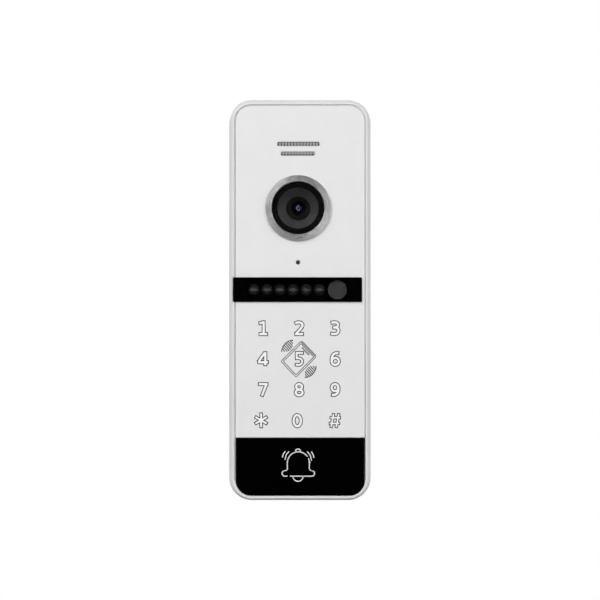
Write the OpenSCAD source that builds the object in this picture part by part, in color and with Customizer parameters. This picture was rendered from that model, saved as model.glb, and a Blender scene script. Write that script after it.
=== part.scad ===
// Surface-mounted video door station: camera, speaker, infrared lamps, touch keypad and call button.
// The wall is the plane y = 0 and the front faces -Y. X runs to the right and Z runs up.
// "Depth" always means millimetres in front of the wall, so depth d lies at y = -d.

/* [Body] */
// Width of the front frame
body_w = 56.6; // [56:0.1:58]
// Height of the front frame
body_h = 160; // [159:0.5:164]
// Depth from the wall to the front of the frame
body_d = 23; // [22.8:0.1:25]
// Radius of the frame's outer corners
corner_r = 9; // [8.5:0.1:9.5]
// Thickness of the housing's side walls
wall_t = 2; // [1.8:0.1:2.1]
// Depth of the rear cover
cover_d = 8; // [8:0.1:8.3]

/* [Front face] */
// Width of the frame's lip at each side of the face
lip_side = 1.95; // [1.8:0.05:2.1]
// Width of the lip above the face
lip_top = 1.75; // [1.6:0.05:2]
// Width of the lip below the face
lip_bottom = 1.25; // [1.2:0.05:1.5]
// Groove between the lip and the face
face_gap = 0.65; // [0.4:0.05:0.8]
// Thickness of the face panel
panel_t = 1.4; // [1.2:0.1:1.6]
// Height of the call button
button_h = 23; // [22:0.5:23.5]
// Travel of the call button
button_travel = 0.6; // [0.3:0.1:0.6]

/* [Camera] */
// Camera axis, sideways from the middle
camera_x = -0.75; // [-2:0.05:2]
// Camera axis, above the middle
camera_z = 36.85; // [36:0.05:38]
// Outer radius of the metal ring
bezel_r = 13.35; // [13:0.05:13.6]
// Inner radius of the metal ring
bezel_bore_r = 10.55; // [10.5:0.05:10.8]

/* [Speaker and microphone] */
// Middle of the speaker, sideways
speaker_x = -0.7; // [-2:0.1:2]
// Middle of the speaker, above the middle of the body
speaker_z = 62; // [61.5:0.1:62.5]
// Length of the upper speaker slot
upper_slot_w = 17.2; // [16:0.1:18]
// Length of the lower speaker slot
lower_slot_w = 13.8; // [12.5:0.1:14]
// Microphone hole, above the middle of the body
mic_z = 15.1; // [14.5:0.1:15.3]

/* [Infrared bar] */
// Middle of the dark bar, sideways
bar_x = -1.05; // [-1.2:0.05:-0.9]
// Middle of the dark bar, above the middle of the body
bar_z = 4.2; // [4:0.05:4.3]
// Length of the dark bar
bar_w = 51.5; // [51:0.1:51.8]
// Height of the dark bar
bar_h = 9.9; // [9.6:0.1:10.2]
// Distance from one infrared lamp to the next
led_pitch = 5.28; // [5.15:0.01:5.3]

/* [Keypad] */
// Distance between key columns
key_pitch_x = 14.45; // [13:0.05:14.5]
// Distance between key rows
key_pitch_z = 12.27; // [11.5:0.01:12.3]

/* [Wall bracket] */
// Thickness of the bracket's steel
bracket_t = 1.5; // [1.2:0.1:1.5]
// Lift that frees the station from the bracket's hooks
lift_travel = 8; // [7:0.5:8]
// Distance between the two wall screws
wall_screw_pitch = 100; // [90:1:104]
// Radius of the cable hole in the grommet
cable_r = 3; // [2:0.1:3.4]

/* [Hidden] */
$fn = 64;
over = 0.5; // how far cutting shapes run past what they cut

// Depths of the main layers
cover_back = 0.3;
lip_front = body_d;
lip_chamfer = 0.8;
panel_front = lip_front - 0.2;
panel_back = panel_front - panel_t;
wall_back = panel_back - 1.6;
cover_inset = 0.8;
cover_back_t = 1.7;

// Face opening inside the lip
face_w = body_w - 2 * lip_side;
face_h = body_h - lip_top - lip_bottom;
face_z = (lip_bottom - lip_top) / 2;
face_r = corner_r - 1.55;
face_low = face_z - face_h / 2;

// Call button and the sunken floor behind it
button_low = face_low + face_gap;
button_top = button_low + button_h;
split_gap = 0.3;
panel_low = button_top + split_gap;
button_z = -67;
button_front = lip_front + 0.2;
button_t = 2;
button_back = button_front - button_t;
floor_front = button_back - button_travel - 0.6;
floor_back = floor_front - 1.6;
step_w = 1.2;
floor_slot_w = 16;
floor_slot_h = 12;
button_board_front = floor_back - 2.4;
button_board_w = 26;
button_board_h = 18;
button_post_x = 10.6;
small_board_t = 1.2;
switch_size = 6;
switch_h = 1.9;
switch_bore_r = 1.85;
switch_stem_r = 1.75;
switch_stem_low = button_board_front + 1.3;
switch_stem_top = button_board_front + 2.6;
leg_x = 15;
leg_w = 4;
leg_t = 1.2;
leg_barb = 0.8;
leg_low = floor_back - 1.4;
leg_offset = 8.5;
bell_guide_w = 15;
bell_guide_h = 18;
bell_guide_hole_r = 2.2;
bell_guide_t = 0.85;
bell_led_x = 6;

// Camera stack, from the metal ring inwards
bezel_front = panel_front + 1.5;
bezel_stem_r = bezel_r - 0.95;
bezel_seat = panel_front - 0.9;
bezel_foot = panel_back - 1;
gasket_t = 0.5;
window_back = bezel_seat + gasket_t;
window_front = window_back + 1;
hood_r = bezel_bore_r - 0.95;
hood_mouth_r = 8.25;
hood_throat_r = 4.8;
hood_steps = 5;
hood_throat = bezel_seat - 3.5;
barrel_r = 4.7;
barrel_front = hood_throat + 0.6;
barrel_thread_r = 4;
lens_r = 2.4;
lens_dome_r = 3.6;
camera_board_back = 9.4;
camera_board_front = camera_board_back + small_board_t;
camera_board_size = 24;
camera_screw_offset = 9.8;
holder_size = 13;
holder_base_t = 2.4;
holder_top = camera_board_front + 3.2;
sensor_size = 6;
sensor_t = 0.8;
sensor_bay = 8;
sensor_bay_t = 1.6;

// Speaker
speaker_r = 11.5;
cone_depth = 2.6;
magnet_r = 6;
magnet_t = 2.8;
gasket_front = wall_back;
basket_front = wall_back - 0.6;
basket_back = basket_front - 4;
slot_h = 1.8;
upper_slot_z = 62.4;
lower_slot_z = 58.5;
grille_hole_r = 0.3;
grille_pitch_x = 1.2;
grille_pitch_z = 0.92;
upper_columns = 14;
lower_columns = 11;
grille_plate_w = 20.4;
grille_plate_h = 7.2;
grille_plate_t = 0.4;

// Microphone
mic_x = -0.78;
mic_r = 3;
mic_hole_r = 0.9;
mic_boot_r = 4.2;

// Infrared board
led_count = 6;
led_first_x = -18.54;
led_z = bar_z - 0.04;
led_r = 2.3;
led_rim_r = 2.55;
led_length = 3;
ldr_x = 15.06;
ldr_r = 3.82;
bar_front = panel_front + 0.6;
plug_low_x = -21.2;
plug_high_x = 19.2;
plug_h = 7.7;
ir_board_back = panel_back - 4.4;
ir_board_front = ir_board_back + small_board_t;
ir_board_low_x = -24.6;
ir_board_high_x = 22.8;
ir_board_h = 10.8;
ir_screw_inset = 1.5;

// Keypad stack behind the panel
key_x = -0.25;
key_z = -29.65;
key_columns = 3;
key_rows = 4;
pad_size = 8.4;
pad_t = 0.15;
keypad_w = 37.6;
keypad_h = 47.6;
keypad_low = -52.6;
keypad_mid_z = keypad_low + keypad_h / 2;
guide_h = 44.8;
guide_back = panel_back - 0.8;
guide_front = panel_back - 0.05;
keypad_board_front = guide_back - pad_t;
keypad_board_back = keypad_board_front - small_board_t;
coil_w = 35;
coil_h = 44;
coil_band = 2;
coil_t = 0.3;

// Main board and what stands on it
main_back = 11;
main_front = 12.6;
main_w = 49.6;
main_low = -52.6;
main_top = 20;
post_x = 22.3;
post_low_z = -50;
post_top_z = 16;
post_r = 2.4;
board_screw_r = 0.95;
board_screw_head_r = 2.2;
small_screw_r = 0.75;
small_screw_head_r = 1.6;
small_screw_shank = 3.4;
small_post_r = 1.9;
screw_pass_r = 1;
processor_size = 12;
relay_w = 10;
relay_h = 6.6;
relay_t = 5.2;
inductor_size = 7;
inductor_t = 3;
capacitor_h = 4.8;
header_pins = 8;
header_pitch = 1.6;
header_z = -37;
header_t = 2.4;
header_block = 2.2;
terminal_poles = 6;
terminal_pitch = 5;
terminal_z = -39.5;
terminal_h = 8.6;
terminal_back = 6.2;
terminal_screw_r = 1.4;
capacitor_r = 2.5;
connector_w = 10;
connector_t = 1.5;
ribbon_w = 8;
ribbon_t = 0.25;
camera_connector_z = camera_z - 9.5;
main_connector_z = 15.5;

// Rear cover
recess_w = 43.2;
recess_low = -68;
recess_top = 67.6;
recess_depth = 4.2;
recess_floor_t = 1.6;
floor_plane = recess_depth + recess_floor_t;
seal_t = 0.8;
seal_inset = 0.5;
tongue_h = 1.4;
tongue_t = 1.2;
tongue_gap = 0.2;
column_x = body_w / 2 - 7.3;
column_z = body_h / 2 - 7.4;
column_r = 4.4;
housing_screw_r = 1.45;
housing_screw_head_r = 2.8;
housing_boss_r = 2.8;
housing_screw_back = 0.9;
housing_screw_head_t = 2.1;
housing_screw_tip = 14;
grommet_z = -20;
grommet_neck_r = 5;
grommet_flange_r = 6.6;
grommet_flange_t = 0.8;

// Wall bracket
bracket_w = 39;
bracket_top = 66;
bracket_low = recess_low + 8.5;
hook_x = 13;
hook_z = 59;
hook_w = 8;
hook_rise = 6;
finger_back = floor_plane + 0.2;
finger_front = finger_back + bracket_t;
pocket_gap = 0.6;
pocket_wall = 1.2;
tab_w = 12;
tab_low = -76;
tab_depth = 6.4;
notch_w = 16;
notch_top = tab_low + bracket_t + 0.2;
notch_depth = 6.8;
lock_depth = 3.9;
lock_screw_r = 1.2;
lock_pilot_r = 1.25;
lock_head_r = 2.2;
lock_tip = -69.5;
wall_screw_hole_r = 2.2;
window_w = 24;
window_h = 24;

// Gives a flat outline (x to the right, y up) its thickness between two depths.
module slab(from, to) {
    translate([0, -from, 0]) rotate([90, 0, 0]) linear_extrude(to - from) children();
}

// Spins an outline of (radius, depth) about an axis that points straight out of the wall.
module turned(x, z) {
    translate([x, 0, z]) rotate([90, 0, 0]) rotate_extrude() children();
}

// A plain round piece on such an axis, between two depths.
module disc(x, z, r, from, to) {
    translate([x, -from, z]) rotate([90, 0, 0]) cylinder(r = r, h = to - from);
}

// Carries an outline of (-depth, height) sideways between two places in X.
module across(from, to) {
    translate([from, 0, 0]) rotate([90, 0, 90]) linear_extrude(to - from) children();
}

module rounded(w, h, r) {
    square([w - 2 * r, h], center = true);
    square([w, h - 2 * r], center = true);
    for (x = [-1, 1], z = [-1, 1]) translate([x * (w / 2 - r), z * (h / 2 - r)]) circle(r);
}

module pill(w, h) {
    square([w - h, h], center = true);
    for (x = [-1, 1]) translate([x * (w - h) / 2, 0]) circle(h / 2);
}

module box_outline(low_x, low_z, high_x, high_z) {
    translate([low_x, low_z]) square([high_x - low_x, high_z - low_z]);
}

// Outline of the whole body, drawn in by an equal margin all round.
module body_outline(inset) {
    rounded(body_w - 2 * inset, body_h - 2 * inset, corner_r - inset);
}

// Outline of the opening inside the lip, drawn in by a margin.
module face_outline(inset) {
    translate([0, face_z]) rounded(face_w - 2 * inset, face_h - 2 * inset, face_r - inset);
}

module above(z) {
    intersection() {
        children();
        box_outline(-body_w, z, body_w, body_h);
    }
}

module below(z) {
    intersection() {
        children();
        box_outline(-body_w, -body_h, body_w, z);
    }
}

module speaker_slots(inset) {
    translate([speaker_x + 0.1, upper_slot_z]) pill(upper_slot_w - 2 * inset, slot_h - 2 * inset);
    translate([speaker_x - 0.1, lower_slot_z]) pill(lower_slot_w - 2 * inset, slot_h - 2 * inset);
}

module ir_plug_outline(inset) {
    half = plug_h / 2 - inset;
    box_outline(plug_low_x + inset, bar_z - half, plug_high_x - inset, bar_z + half);
}

module keypad_outline(inset) {
    translate([0, keypad_mid_z]) rounded(keypad_w - 2 * inset, keypad_h - 2 * inset, 1.2 - inset);
}

// The places of the screws that hold the housing, the main board and the small boards.
module at_columns() {
    for (x = [-1, 1], z = [-1, 1]) translate([x * column_x, 0, z * column_z]) children();
}

module at_main_posts() {
    for (x = [-1, 1], z = [post_low_z, post_top_z]) translate([x * post_x, 0, z]) children();
}

module at_camera_posts() {
    for (s = [-1, 1]) {
        translate([camera_x + s * camera_screw_offset, 0, camera_z - s * camera_screw_offset]) children();
    }
}

module at_ir_posts() {
    for (x = [ir_board_low_x + ir_screw_inset, ir_board_high_x - ir_screw_inset]) {
        translate([x, 0, led_z]) children();
    }
}

module at_button_posts() {
    for (s = [-1, 1]) translate([s * button_post_x, 0, button_z]) children();
}

// ---------- bracket ----------

module bracket_hook(x) {
    across(x - hook_w / 2, x + hook_w / 2) polygon([
        [0, hook_z], [-finger_front, hook_z], [-finger_front, hook_z + hook_rise],
        [-finger_back, hook_z + hook_rise], [-finger_back, hook_z + bracket_t], [0, hook_z + bracket_t]]);
}

module wall_bracket() {
    color("silver") difference() {
        union() {
            slab(0, bracket_t) {
                difference() {
                    translate([0, (bracket_top + bracket_low) / 2])
                        rounded(bracket_w, bracket_top - bracket_low, 3);
                    // the strips that were bent out to make the hooks
                    for (s = [-1, 1]) {
                        box_outline(s * hook_x - hook_w / 2 - 0.3, hook_z - 11,
                            s * hook_x + hook_w / 2 + 0.3, hook_z);
                    }
                    translate([0, grommet_z]) rounded(window_w, window_h, 3);
                }
                box_outline(-tab_w / 2, tab_low, tab_w / 2, bracket_low + 1);
            }
            slab(0, tab_depth) box_outline(-tab_w / 2, tab_low, tab_w / 2, tab_low + bracket_t);
            for (s = [-1, 1]) bracket_hook(s * hook_x);
        }
        for (s = [-1, 1]) disc(0, s * wall_screw_pitch / 2, wall_screw_hole_r, -over, bracket_t + over);
        translate([0, -lock_depth, tab_low - over]) {
            cylinder(r = lock_screw_r + 0.15, h = bracket_t + 2 * over);
        }
    }
}

module lock_screw() {
    head_h = 2.2;
    color("dimgray") translate([0, -lock_depth, 0]) {
        translate([0, 0, tab_low - head_h]) difference() {
            cylinder(r = lock_head_r, h = head_h);
            translate([0, 0, -over]) cylinder(r = 1.1, h = 1.2 + over, $fn = 6);
        }
        translate([0, 0, tab_low]) cylinder(r = lock_screw_r, h = lock_tip - tab_low);
    }
}

// ---------- rear cover ----------

// Floor of the recess that takes the bracket, with its side walls.
module recess_block() {
    wall = recess_floor_t;
    slab(cover_back, floor_plane) {
        box_outline(-recess_w / 2 - wall, recess_low - wall, recess_w / 2 + wall, recess_top + wall);
    }
}

// Closed pocket that a bracket hook works in.
module hook_pocket(x, inset) {
    half = hook_w / 2 + pocket_gap + pocket_wall - inset;
    low = hook_z - lift_travel - pocket_gap - pocket_wall + inset;
    high = hook_z + hook_rise + pocket_gap + pocket_wall - inset;
    slab(recess_depth + inset, finger_front + 0.5 + pocket_wall - inset) {
        box_outline(x - half, low, x + half, high);
    }
}

// Opening in the recess floor that a hook enters by.
module hook_opening(x) {
    half = hook_w / 2 + pocket_gap;
    slab(recess_depth - over, floor_plane + over) {
        box_outline(x - half, hook_z - lift_travel - pocket_gap, x + half, hook_z + bracket_t + 0.15);
    }
}

module rear_cover() {
    color("gainsboro") difference() {
        union() {
            difference() {
                union() {
                    slab(cover_back, cover_back + lip_chamfer) body_outline(cover_inset + lip_chamfer / 2);
                    slab(cover_back + lip_chamfer, cover_d) body_outline(cover_inset);
                    slab(cover_d, cover_d + tongue_h) body_outline(wall_t + tongue_gap);
                }
                slab(cover_back + cover_back_t, cover_d + tongue_h + over) {
                    body_outline(wall_t + tongue_gap + tongue_t);
                }
            }
            recess_block();
            for (s = [-1, 1]) hook_pocket(s * hook_x, 0);
            at_columns() disc(0, 0, column_r, cover_back, cover_d + 0.4);
            // walls round the notch that takes the bracket's bottom tab
            slab(cover_back, cover_d) intersection() {
                box_outline(-notch_w / 2 - 1.6, -body_h, notch_w / 2 + 1.6, recess_low);
                body_outline(cover_inset + lip_chamfer / 2);
            }
        }
        slab(-over, recess_depth) {
            translate([0, (recess_low + recess_top) / 2]) rounded(recess_w, recess_top - recess_low, 2);
        }
        for (s = [-1, 1]) {
            difference() {
                hook_pocket(s * hook_x, pocket_wall);
                slab(0, floor_plane) square(body_h * 2, center = true);
            }
            hook_opening(s * hook_x);
        }
        slab(-over, 2.4) box_outline(-notch_w / 2, -body_h, notch_w / 2, recess_low + 1);
        slab(-over, notch_depth) box_outline(-notch_w / 2, -body_h, notch_w / 2, notch_top);
        translate([0, -lock_depth, notch_top - over]) cylinder(r = lock_pilot_r, h = recess_low - notch_top);
        disc(0, grommet_z, grommet_neck_r, -over, floor_plane + over);
        at_columns() {
            disc(0, 0, housing_screw_r + 0.25, -over, cover_d + 1);
            disc(0, 0, housing_screw_head_r + 0.3, -over, housing_screw_back + housing_screw_head_t);
        }
        rear_seal_ring();
    }
}

module rear_seal_ring() {
    slab(cover_d - seal_t, cover_d) difference() {
        body_outline(cover_inset + seal_inset);
        body_outline(cover_inset + seal_inset + seal_t);
    }
}

module rear_seal() {
    color("black") rear_seal_ring();
}

module cable_grommet() {
    color("black") turned(0, grommet_z) difference() {
        union() {
            translate([0, recess_depth - grommet_flange_t]) square([grommet_flange_r, grommet_flange_t]);
            translate([0, recess_depth]) square([grommet_neck_r, recess_floor_t]);
            translate([0, floor_plane]) square([grommet_flange_r, grommet_flange_t]);
        }
        square([cable_r, floor_plane * 2]);
    }
}

module housing_screws() {
    color("dimgray") at_columns() turned(0, 0) {
        shank_back = housing_screw_back + housing_screw_head_t;
        translate([0, housing_screw_back]) square([housing_screw_head_r, housing_screw_head_t]);
        translate([0, shank_back]) square([housing_screw_r, housing_screw_tip - shank_back]);
    }
}

// ---------- front housing, panel and bar ----------

module housing_shell() {
    difference() {
        union() {
            slab(cover_d, lip_front - lip_chamfer) body_outline(0);
            slab(lip_front - lip_chamfer, lip_front) body_outline(lip_chamfer / 2);
        }
        slab(cover_d - over, floor_back) body_outline(wall_t);
        slab(floor_back - over, wall_back) above(panel_low + step_w) body_outline(wall_t);
        slab(panel_back, lip_front + over) face_outline(0);
        slab(floor_front, lip_front + over) below(panel_low - split_gap / 2) face_outline(0);
    }
}

module speaker_collar() {
    slab(basket_back, wall_back + 0.1) translate([speaker_x, speaker_z]) difference() {
        circle(speaker_r + 1.2);
        circle(speaker_r + 0.1);
    }
}

module front_housing() {
    color("gainsboro") difference() {
        union() {
            housing_shell();
            speaker_collar();
            at_columns() disc(0, 0, housing_boss_r, cover_d + 0.6, wall_back);
            at_main_posts() disc(0, 0, post_r, main_front, wall_back + 0.1);
            at_camera_posts() disc(0, 0, small_post_r, camera_board_front, wall_back + 0.1);
            at_ir_posts() disc(0, 0, small_post_r, ir_board_front, wall_back + 0.1);
            at_button_posts() disc(0, 0, small_post_r, button_board_front, floor_back + 0.1);
        }
        // pilot holes
        at_columns() disc(0, 0, housing_screw_r, cover_d, housing_screw_tip + 1);
        at_main_posts() disc(0, 0, board_screw_r, main_front - over, main_front + 4.2);
        at_camera_posts() disc(0, 0, small_screw_r, camera_board_front - over, camera_board_front + 4);
        at_ir_posts() disc(0, 0, small_screw_r, ir_board_front - over, wall_back + 1);
        at_button_posts() disc(0, 0, small_screw_r, button_board_front - over, floor_back + 0.7);
        // camera seat
        disc(camera_x, camera_z, bezel_stem_r + 0.1, bezel_foot, lip_front);
        disc(camera_x, camera_z, hood_r + 0.4, wall_back - over, lip_front);
        // speaker grille seat and sound opening
        slab(panel_back - grille_plate_t - 0.15, panel_back + over) {
            translate([speaker_x, (upper_slot_z + lower_slot_z) / 2])
                square([grille_plate_w + 0.4, grille_plate_h + 0.4], center = true);
        }
        slab(wall_back - over, panel_back) speaker_slots(-0.4);
        disc(mic_x, mic_z, mic_hole_r, wall_back - over, lip_front);
        slab(wall_back - over, panel_back + over) ir_plug_outline(-0.1);
        slab(wall_back - over, panel_back + over) keypad_outline(-0.4);
        // shallow notch in the lip for the end of the dark bar
        slab(panel_front - 0.1, lip_front + over) {
            box_outline(bar_x - bar_w / 2 - 0.15, bar_z - bar_h / 2 - 0.15, 0, bar_z + bar_h / 2 + 0.15);
        }
        // floor openings of the call button
        slab(floor_back - over, floor_front + over) translate([0, button_z]) {
            rounded(floor_slot_w, floor_slot_h, 2);
        }
        for (x = [-1, 1], z = [-1, 1]) slab(floor_back - over, floor_front + over) {
            translate([x * leg_x, button_z + z * leg_offset]) {
                square([leg_w + 0.6, leg_t + 0.4], center = true);
            }
        }
    }
}

module front_panel() {
    color("whitesmoke") slab(panel_back, panel_front) difference() {
        above(panel_low) face_outline(face_gap);
        translate([camera_x, camera_z]) circle(bezel_stem_r + 0.1);
        speaker_slots(0);
        translate([mic_x, mic_z]) circle(mic_hole_r);
        ir_plug_outline(-0.1);
    }
}

module ir_window() {
    color("black") {
        slab(panel_front, bar_front) translate([bar_x, bar_z]) rounded(bar_w, bar_h, 0.3);
        slab(panel_back, panel_front) ir_plug_outline(0);
    }
}

// ---------- camera ----------

module camera_bezel() {
    color("lightgray") turned(camera_x, camera_z) polygon([
        [bezel_stem_r, bezel_foot], [bezel_stem_r, panel_front], [bezel_r, panel_front],
        [bezel_r, bezel_front - 0.3], [bezel_r - 0.3, bezel_front], [bezel_bore_r + 0.25, bezel_front],
        [bezel_bore_r, bezel_front - 0.25], [bezel_bore_r, bezel_seat], [hood_r + 0.1, bezel_seat],
        [hood_r + 0.1, bezel_foot]]);
}

module camera_window() {
    color("lightblue", 0.3) disc(camera_x, camera_z, bezel_bore_r - 0.1, window_back, window_front);
}

module window_gasket() {
    color("black") turned(camera_x, camera_z) {
        translate([hood_mouth_r, bezel_seat]) square([bezel_bore_r - 0.15 - hood_mouth_r, gasket_t]);
    }
}

// Stepped light baffle that narrows from the window down to the lens.
module lens_hood() {
    step_r = (hood_mouth_r - hood_throat_r) / hood_steps;
    step_d = (bezel_seat - hood_throat) / hood_steps;
    rise = [for (i = [0 : hood_steps - 1], k = [0, 1])
        [hood_throat_r + (i + k) * step_r, hood_throat + i * step_d]];
    color([0.18, 0.17, 0.17]) turned(camera_x, camera_z) polygon(concat(
        [[hood_throat_r, hood_throat - 0.8]], rise,
        [[hood_mouth_r, bezel_seat], [hood_r, bezel_seat], [hood_r, bezel_foot - 0.2],
            [hood_throat_r + 1.4, hood_throat - 0.8]]));
}

module lens_barrel() {
    shoulder = holder_top + 0.2;
    color([0.05, 0.05, 0.05]) turned(camera_x, camera_z) polygon([
        [lens_r - 0.6, camera_board_front + 2], [barrel_thread_r, camera_board_front + 2],
        [barrel_thread_r, shoulder], [barrel_r, shoulder], [barrel_r, barrel_front - 0.2],
        [barrel_r - 0.2, barrel_front], [lens_r + 0.9, barrel_front], [lens_r, barrel_front - 0.8],
        [lens_r, barrel_front - 2], [lens_r - 0.6, barrel_front - 2]]);
}

module lens_front_element() {
    color([0.2, 0.2, 0.35]) turned(camera_x, camera_z) intersection() {
        translate([0, barrel_front - 0.7 - lens_dome_r]) circle(lens_dome_r);
        translate([0, barrel_front - 2]) square([lens_r, 2]);
    }
}

module lens_holder() {
    color([0.1, 0.1, 0.1]) difference() {
        union() {
            slab(camera_board_front, camera_board_front + holder_base_t) {
                translate([camera_x, camera_z]) rounded(holder_size, holder_size, 1);
            }
            disc(camera_x, camera_z, barrel_thread_r + 1.5, camera_board_front, holder_top);
        }
        slab(camera_board_front - over, camera_board_front + sensor_bay_t) {
            translate([camera_x, camera_z]) square(sensor_bay, center = true);
        }
        disc(camera_x, camera_z, barrel_thread_r + 0.05, camera_board_front, holder_top + over);
    }
}

module infrared_filter() {
    low = camera_board_front + 1.1;
    color([0.6, 0.3, 0.35], 0.6) slab(low, low + 0.4) {
        translate([camera_x, camera_z]) square(sensor_bay - 0.2, center = true);
    }
}

module image_sensor() {
    color("darkslategray") slab(camera_board_front, camera_board_front + sensor_t) {
        translate([camera_x, camera_z]) square(sensor_size, center = true);
    }
}

module camera_board() {
    color("darkgreen") slab(camera_board_back, camera_board_front) difference() {
        translate([camera_x, camera_z]) rounded(camera_board_size, camera_board_size, 1);
        for (s = [-1, 1]) {
            translate([camera_x + s * camera_screw_offset, camera_z - s * camera_screw_offset]) {
                circle(screw_pass_r);
            }
        }
    }
}

// One short screw: the head lies behind the board and the shank runs forward into its post.
module small_screw(board_back) {
    turned(0, 0) {
        translate([0, board_back - 1.2]) square([small_screw_head_r, 1.2]);
        translate([0, board_back]) square([small_screw_r, small_screw_shank]);
    }
}

module small_screws() {
    color("dimgray") {
        at_camera_posts() small_screw(camera_board_back);
        at_ir_posts() small_screw(ir_board_back);
        at_button_posts() small_screw(button_board_front - small_board_t);
    }
}

// ---------- speaker and microphone ----------

module grille_holes(columns, x, z) {
    for (i = [0 : columns - 1], row = [-1, 1]) {
        translate([x + (i - (columns - 1) / 2) * grille_pitch_x, z + row * grille_pitch_z / 2])
            circle(grille_hole_r, $fn = 16);
    }
}

module speaker_grille() {
    plate_front = panel_back - 0.05;
    mid_z = (upper_slot_z + lower_slot_z) / 2;
    color("gray") difference() {
        union() {
            slab(plate_front - grille_plate_t, plate_front) {
                translate([speaker_x, mid_z]) square([grille_plate_w, grille_plate_h], center = true);
            }
            slab(plate_front, panel_front - 0.3) speaker_slots(0.08);
        }
        slab(plate_front - 1, panel_front) {
            grille_holes(upper_columns, speaker_x + 0.1, upper_slot_z);
            grille_holes(lower_columns, speaker_x - 0.1, lower_slot_z);
        }
    }
}

module speaker_gasket() {
    color("black") slab(basket_front, gasket_front) translate([speaker_x, speaker_z]) difference() {
        circle(speaker_r);
        circle(speaker_r - 1.8);
    }
}

module speaker_basket() {
    color("silver") turned(speaker_x, speaker_z) polygon([
        [magnet_r - 3, basket_back], [magnet_r + 1.5, basket_back], [speaker_r - 1.5, basket_front - 1.4],
        [speaker_r, basket_front - 1.4], [speaker_r, basket_front], [speaker_r - 2.2, basket_front],
        [speaker_r - 2.2, basket_front - 0.9], [magnet_r + 1, basket_back + 0.7],
        [magnet_r - 3, basket_back + 0.7]]);
}

module speaker_cone() {
    rim = basket_front - 0.5;
    color("dimgray") turned(speaker_x, speaker_z) polygon([
        [0, rim - 0.9], [2.6, rim - cone_depth + 1], [3.2, rim - cone_depth], [4, rim - cone_depth],
        [speaker_r - 3.4, rim - 0.5], [speaker_r - 2.3, rim - 0.4], [speaker_r - 2.3, rim],
        [speaker_r - 3.6, rim], [3.6, rim - cone_depth + 0.8], [2.9, rim - cone_depth + 1.5],
        [0, rim - 0.5]]);
}

module speaker_magnet() {
    color("silver") disc(speaker_x, speaker_z, magnet_r, basket_back - magnet_t, basket_back);
}

module microphone() {
    back = main_front + 0.4;
    color("silver") {
        disc(mic_x, mic_z, mic_r, back, wall_back - 1);
        for (s = [-1, 1]) disc(mic_x + s * 1.2, mic_z, 0.25, main_front, back + 0.1);
    }
}

module mic_boot() {
    back = main_front + 2;
    color("black") turned(mic_x, mic_z) difference() {
        translate([0, back]) square([mic_boot_r, wall_back - back]);
        square([mic_r + 0.03, wall_back - 0.95]);
        square([mic_hole_r, wall_back + over]);
    }
}

// ---------- infrared board ----------

module ir_board() {
    color("darkgreen") slab(ir_board_back, ir_board_front) difference() {
        box_outline(ir_board_low_x, led_z - ir_board_h / 2, ir_board_high_x, led_z + ir_board_h / 2);
        for (x = [ir_board_low_x + ir_screw_inset, ir_board_high_x - ir_screw_inset]) {
            translate([x, led_z]) circle(screw_pass_r);
        }
    }
}

module ir_led(index) {
    color("dimgray") turned(led_first_x + index * led_pitch, led_z) translate([0, ir_board_front]) {
        square([led_rim_r, 0.6]);
        square([led_r, led_length - led_r]);
        intersection() {
            translate([0, led_length - led_r]) circle(led_r);
            square([led_r, led_length]);
        }
    }
}

module ir_led_1() ir_led(0);
module ir_led_2() ir_led(1);
module ir_led_3() ir_led(2);
module ir_led_4() ir_led(3);
module ir_led_5() ir_led(4);
module ir_led_6() ir_led(led_count - 1);

module light_sensor() {
    color("gray") disc(ldr_x, led_z, ldr_r, ir_board_front, ir_board_front + 2.2);
}

// ---------- keypad ----------

module keypad_board() {
    color("darkgreen") slab(keypad_board_back, keypad_board_front) keypad_outline(0);
}

module touch_electrodes() {
    color("goldenrod") slab(keypad_board_front, guide_back) {
        for (column = [0 : key_columns - 1], row = [0 : key_rows - 1]) {
            x = key_x + (column - (key_columns - 1) / 2) * key_pitch_x;
            z = key_z + ((key_rows - 1) / 2 - row) * key_pitch_z;
            translate([x, z]) rounded(pad_size, pad_size, 1);
        }
    }
}

module backlight_guide() {
    color("white", 0.7) slab(guide_back, guide_front) {
        translate([0, keypad_mid_z]) rounded(keypad_w, guide_h, 1);
    }
}

module key_leds() {
    color("lightyellow") slab(keypad_board_front, keypad_board_front + 0.6) {
        for (x = [-6, 6], s = [-1, 1]) {
            translate([x, keypad_mid_z + s * 23.2]) square([2, 0.9], center = true);
        }
    }
}

module rfid_coil() {
    color("chocolate") slab(keypad_board_back - coil_t, keypad_board_back) {
        translate([0, keypad_mid_z]) difference() {
            rounded(coil_w, coil_h, 3);
            rounded(coil_w - 2 * coil_band, coil_h - 2 * coil_band, 2);
        }
    }
}

// ---------- main board ----------

module main_board() {
    color("darkgreen") slab(main_back, main_front) difference() {
        box_outline(-main_w / 2, main_low, main_w / 2, main_top);
        for (x = [-1, 1], z = [post_low_z, post_top_z]) translate([x * post_x, z]) circle(1.3);
    }
}

module board_screws() {
    color("dimgray") at_main_posts() turned(0, 0) {
        translate([0, main_back - 1.6]) square([board_screw_head_r, 1.6]);
        translate([0, main_back]) square([board_screw_r, 5]);
    }
}

module processor_chip() {
    color([0.12, 0.12, 0.12]) slab(main_back - 1.2, main_back) {
        translate([-12, 3]) square(processor_size, center = true);
    }
}

module board_chips() {
    color([0.12, 0.12, 0.12]) {
        slab(main_back - 1.1, main_back) {
            translate([6, 3]) square([10, 6], center = true);
            translate([17, -8]) square([5, 4], center = true);
            translate([-16, -14]) square([6, 5], center = true);
        }
        // touch controller behind the keypad board
        slab(keypad_board_back - 1.1, keypad_board_back) {
            translate([0, -20]) square([7, 7], center = true);
        }
    }
}

module capacitors() {
    color("slategray") for (x = [-18, -12, -6]) {
        disc(x, -46, capacitor_r, main_front, main_front + capacitor_h);
    }
}

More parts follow.
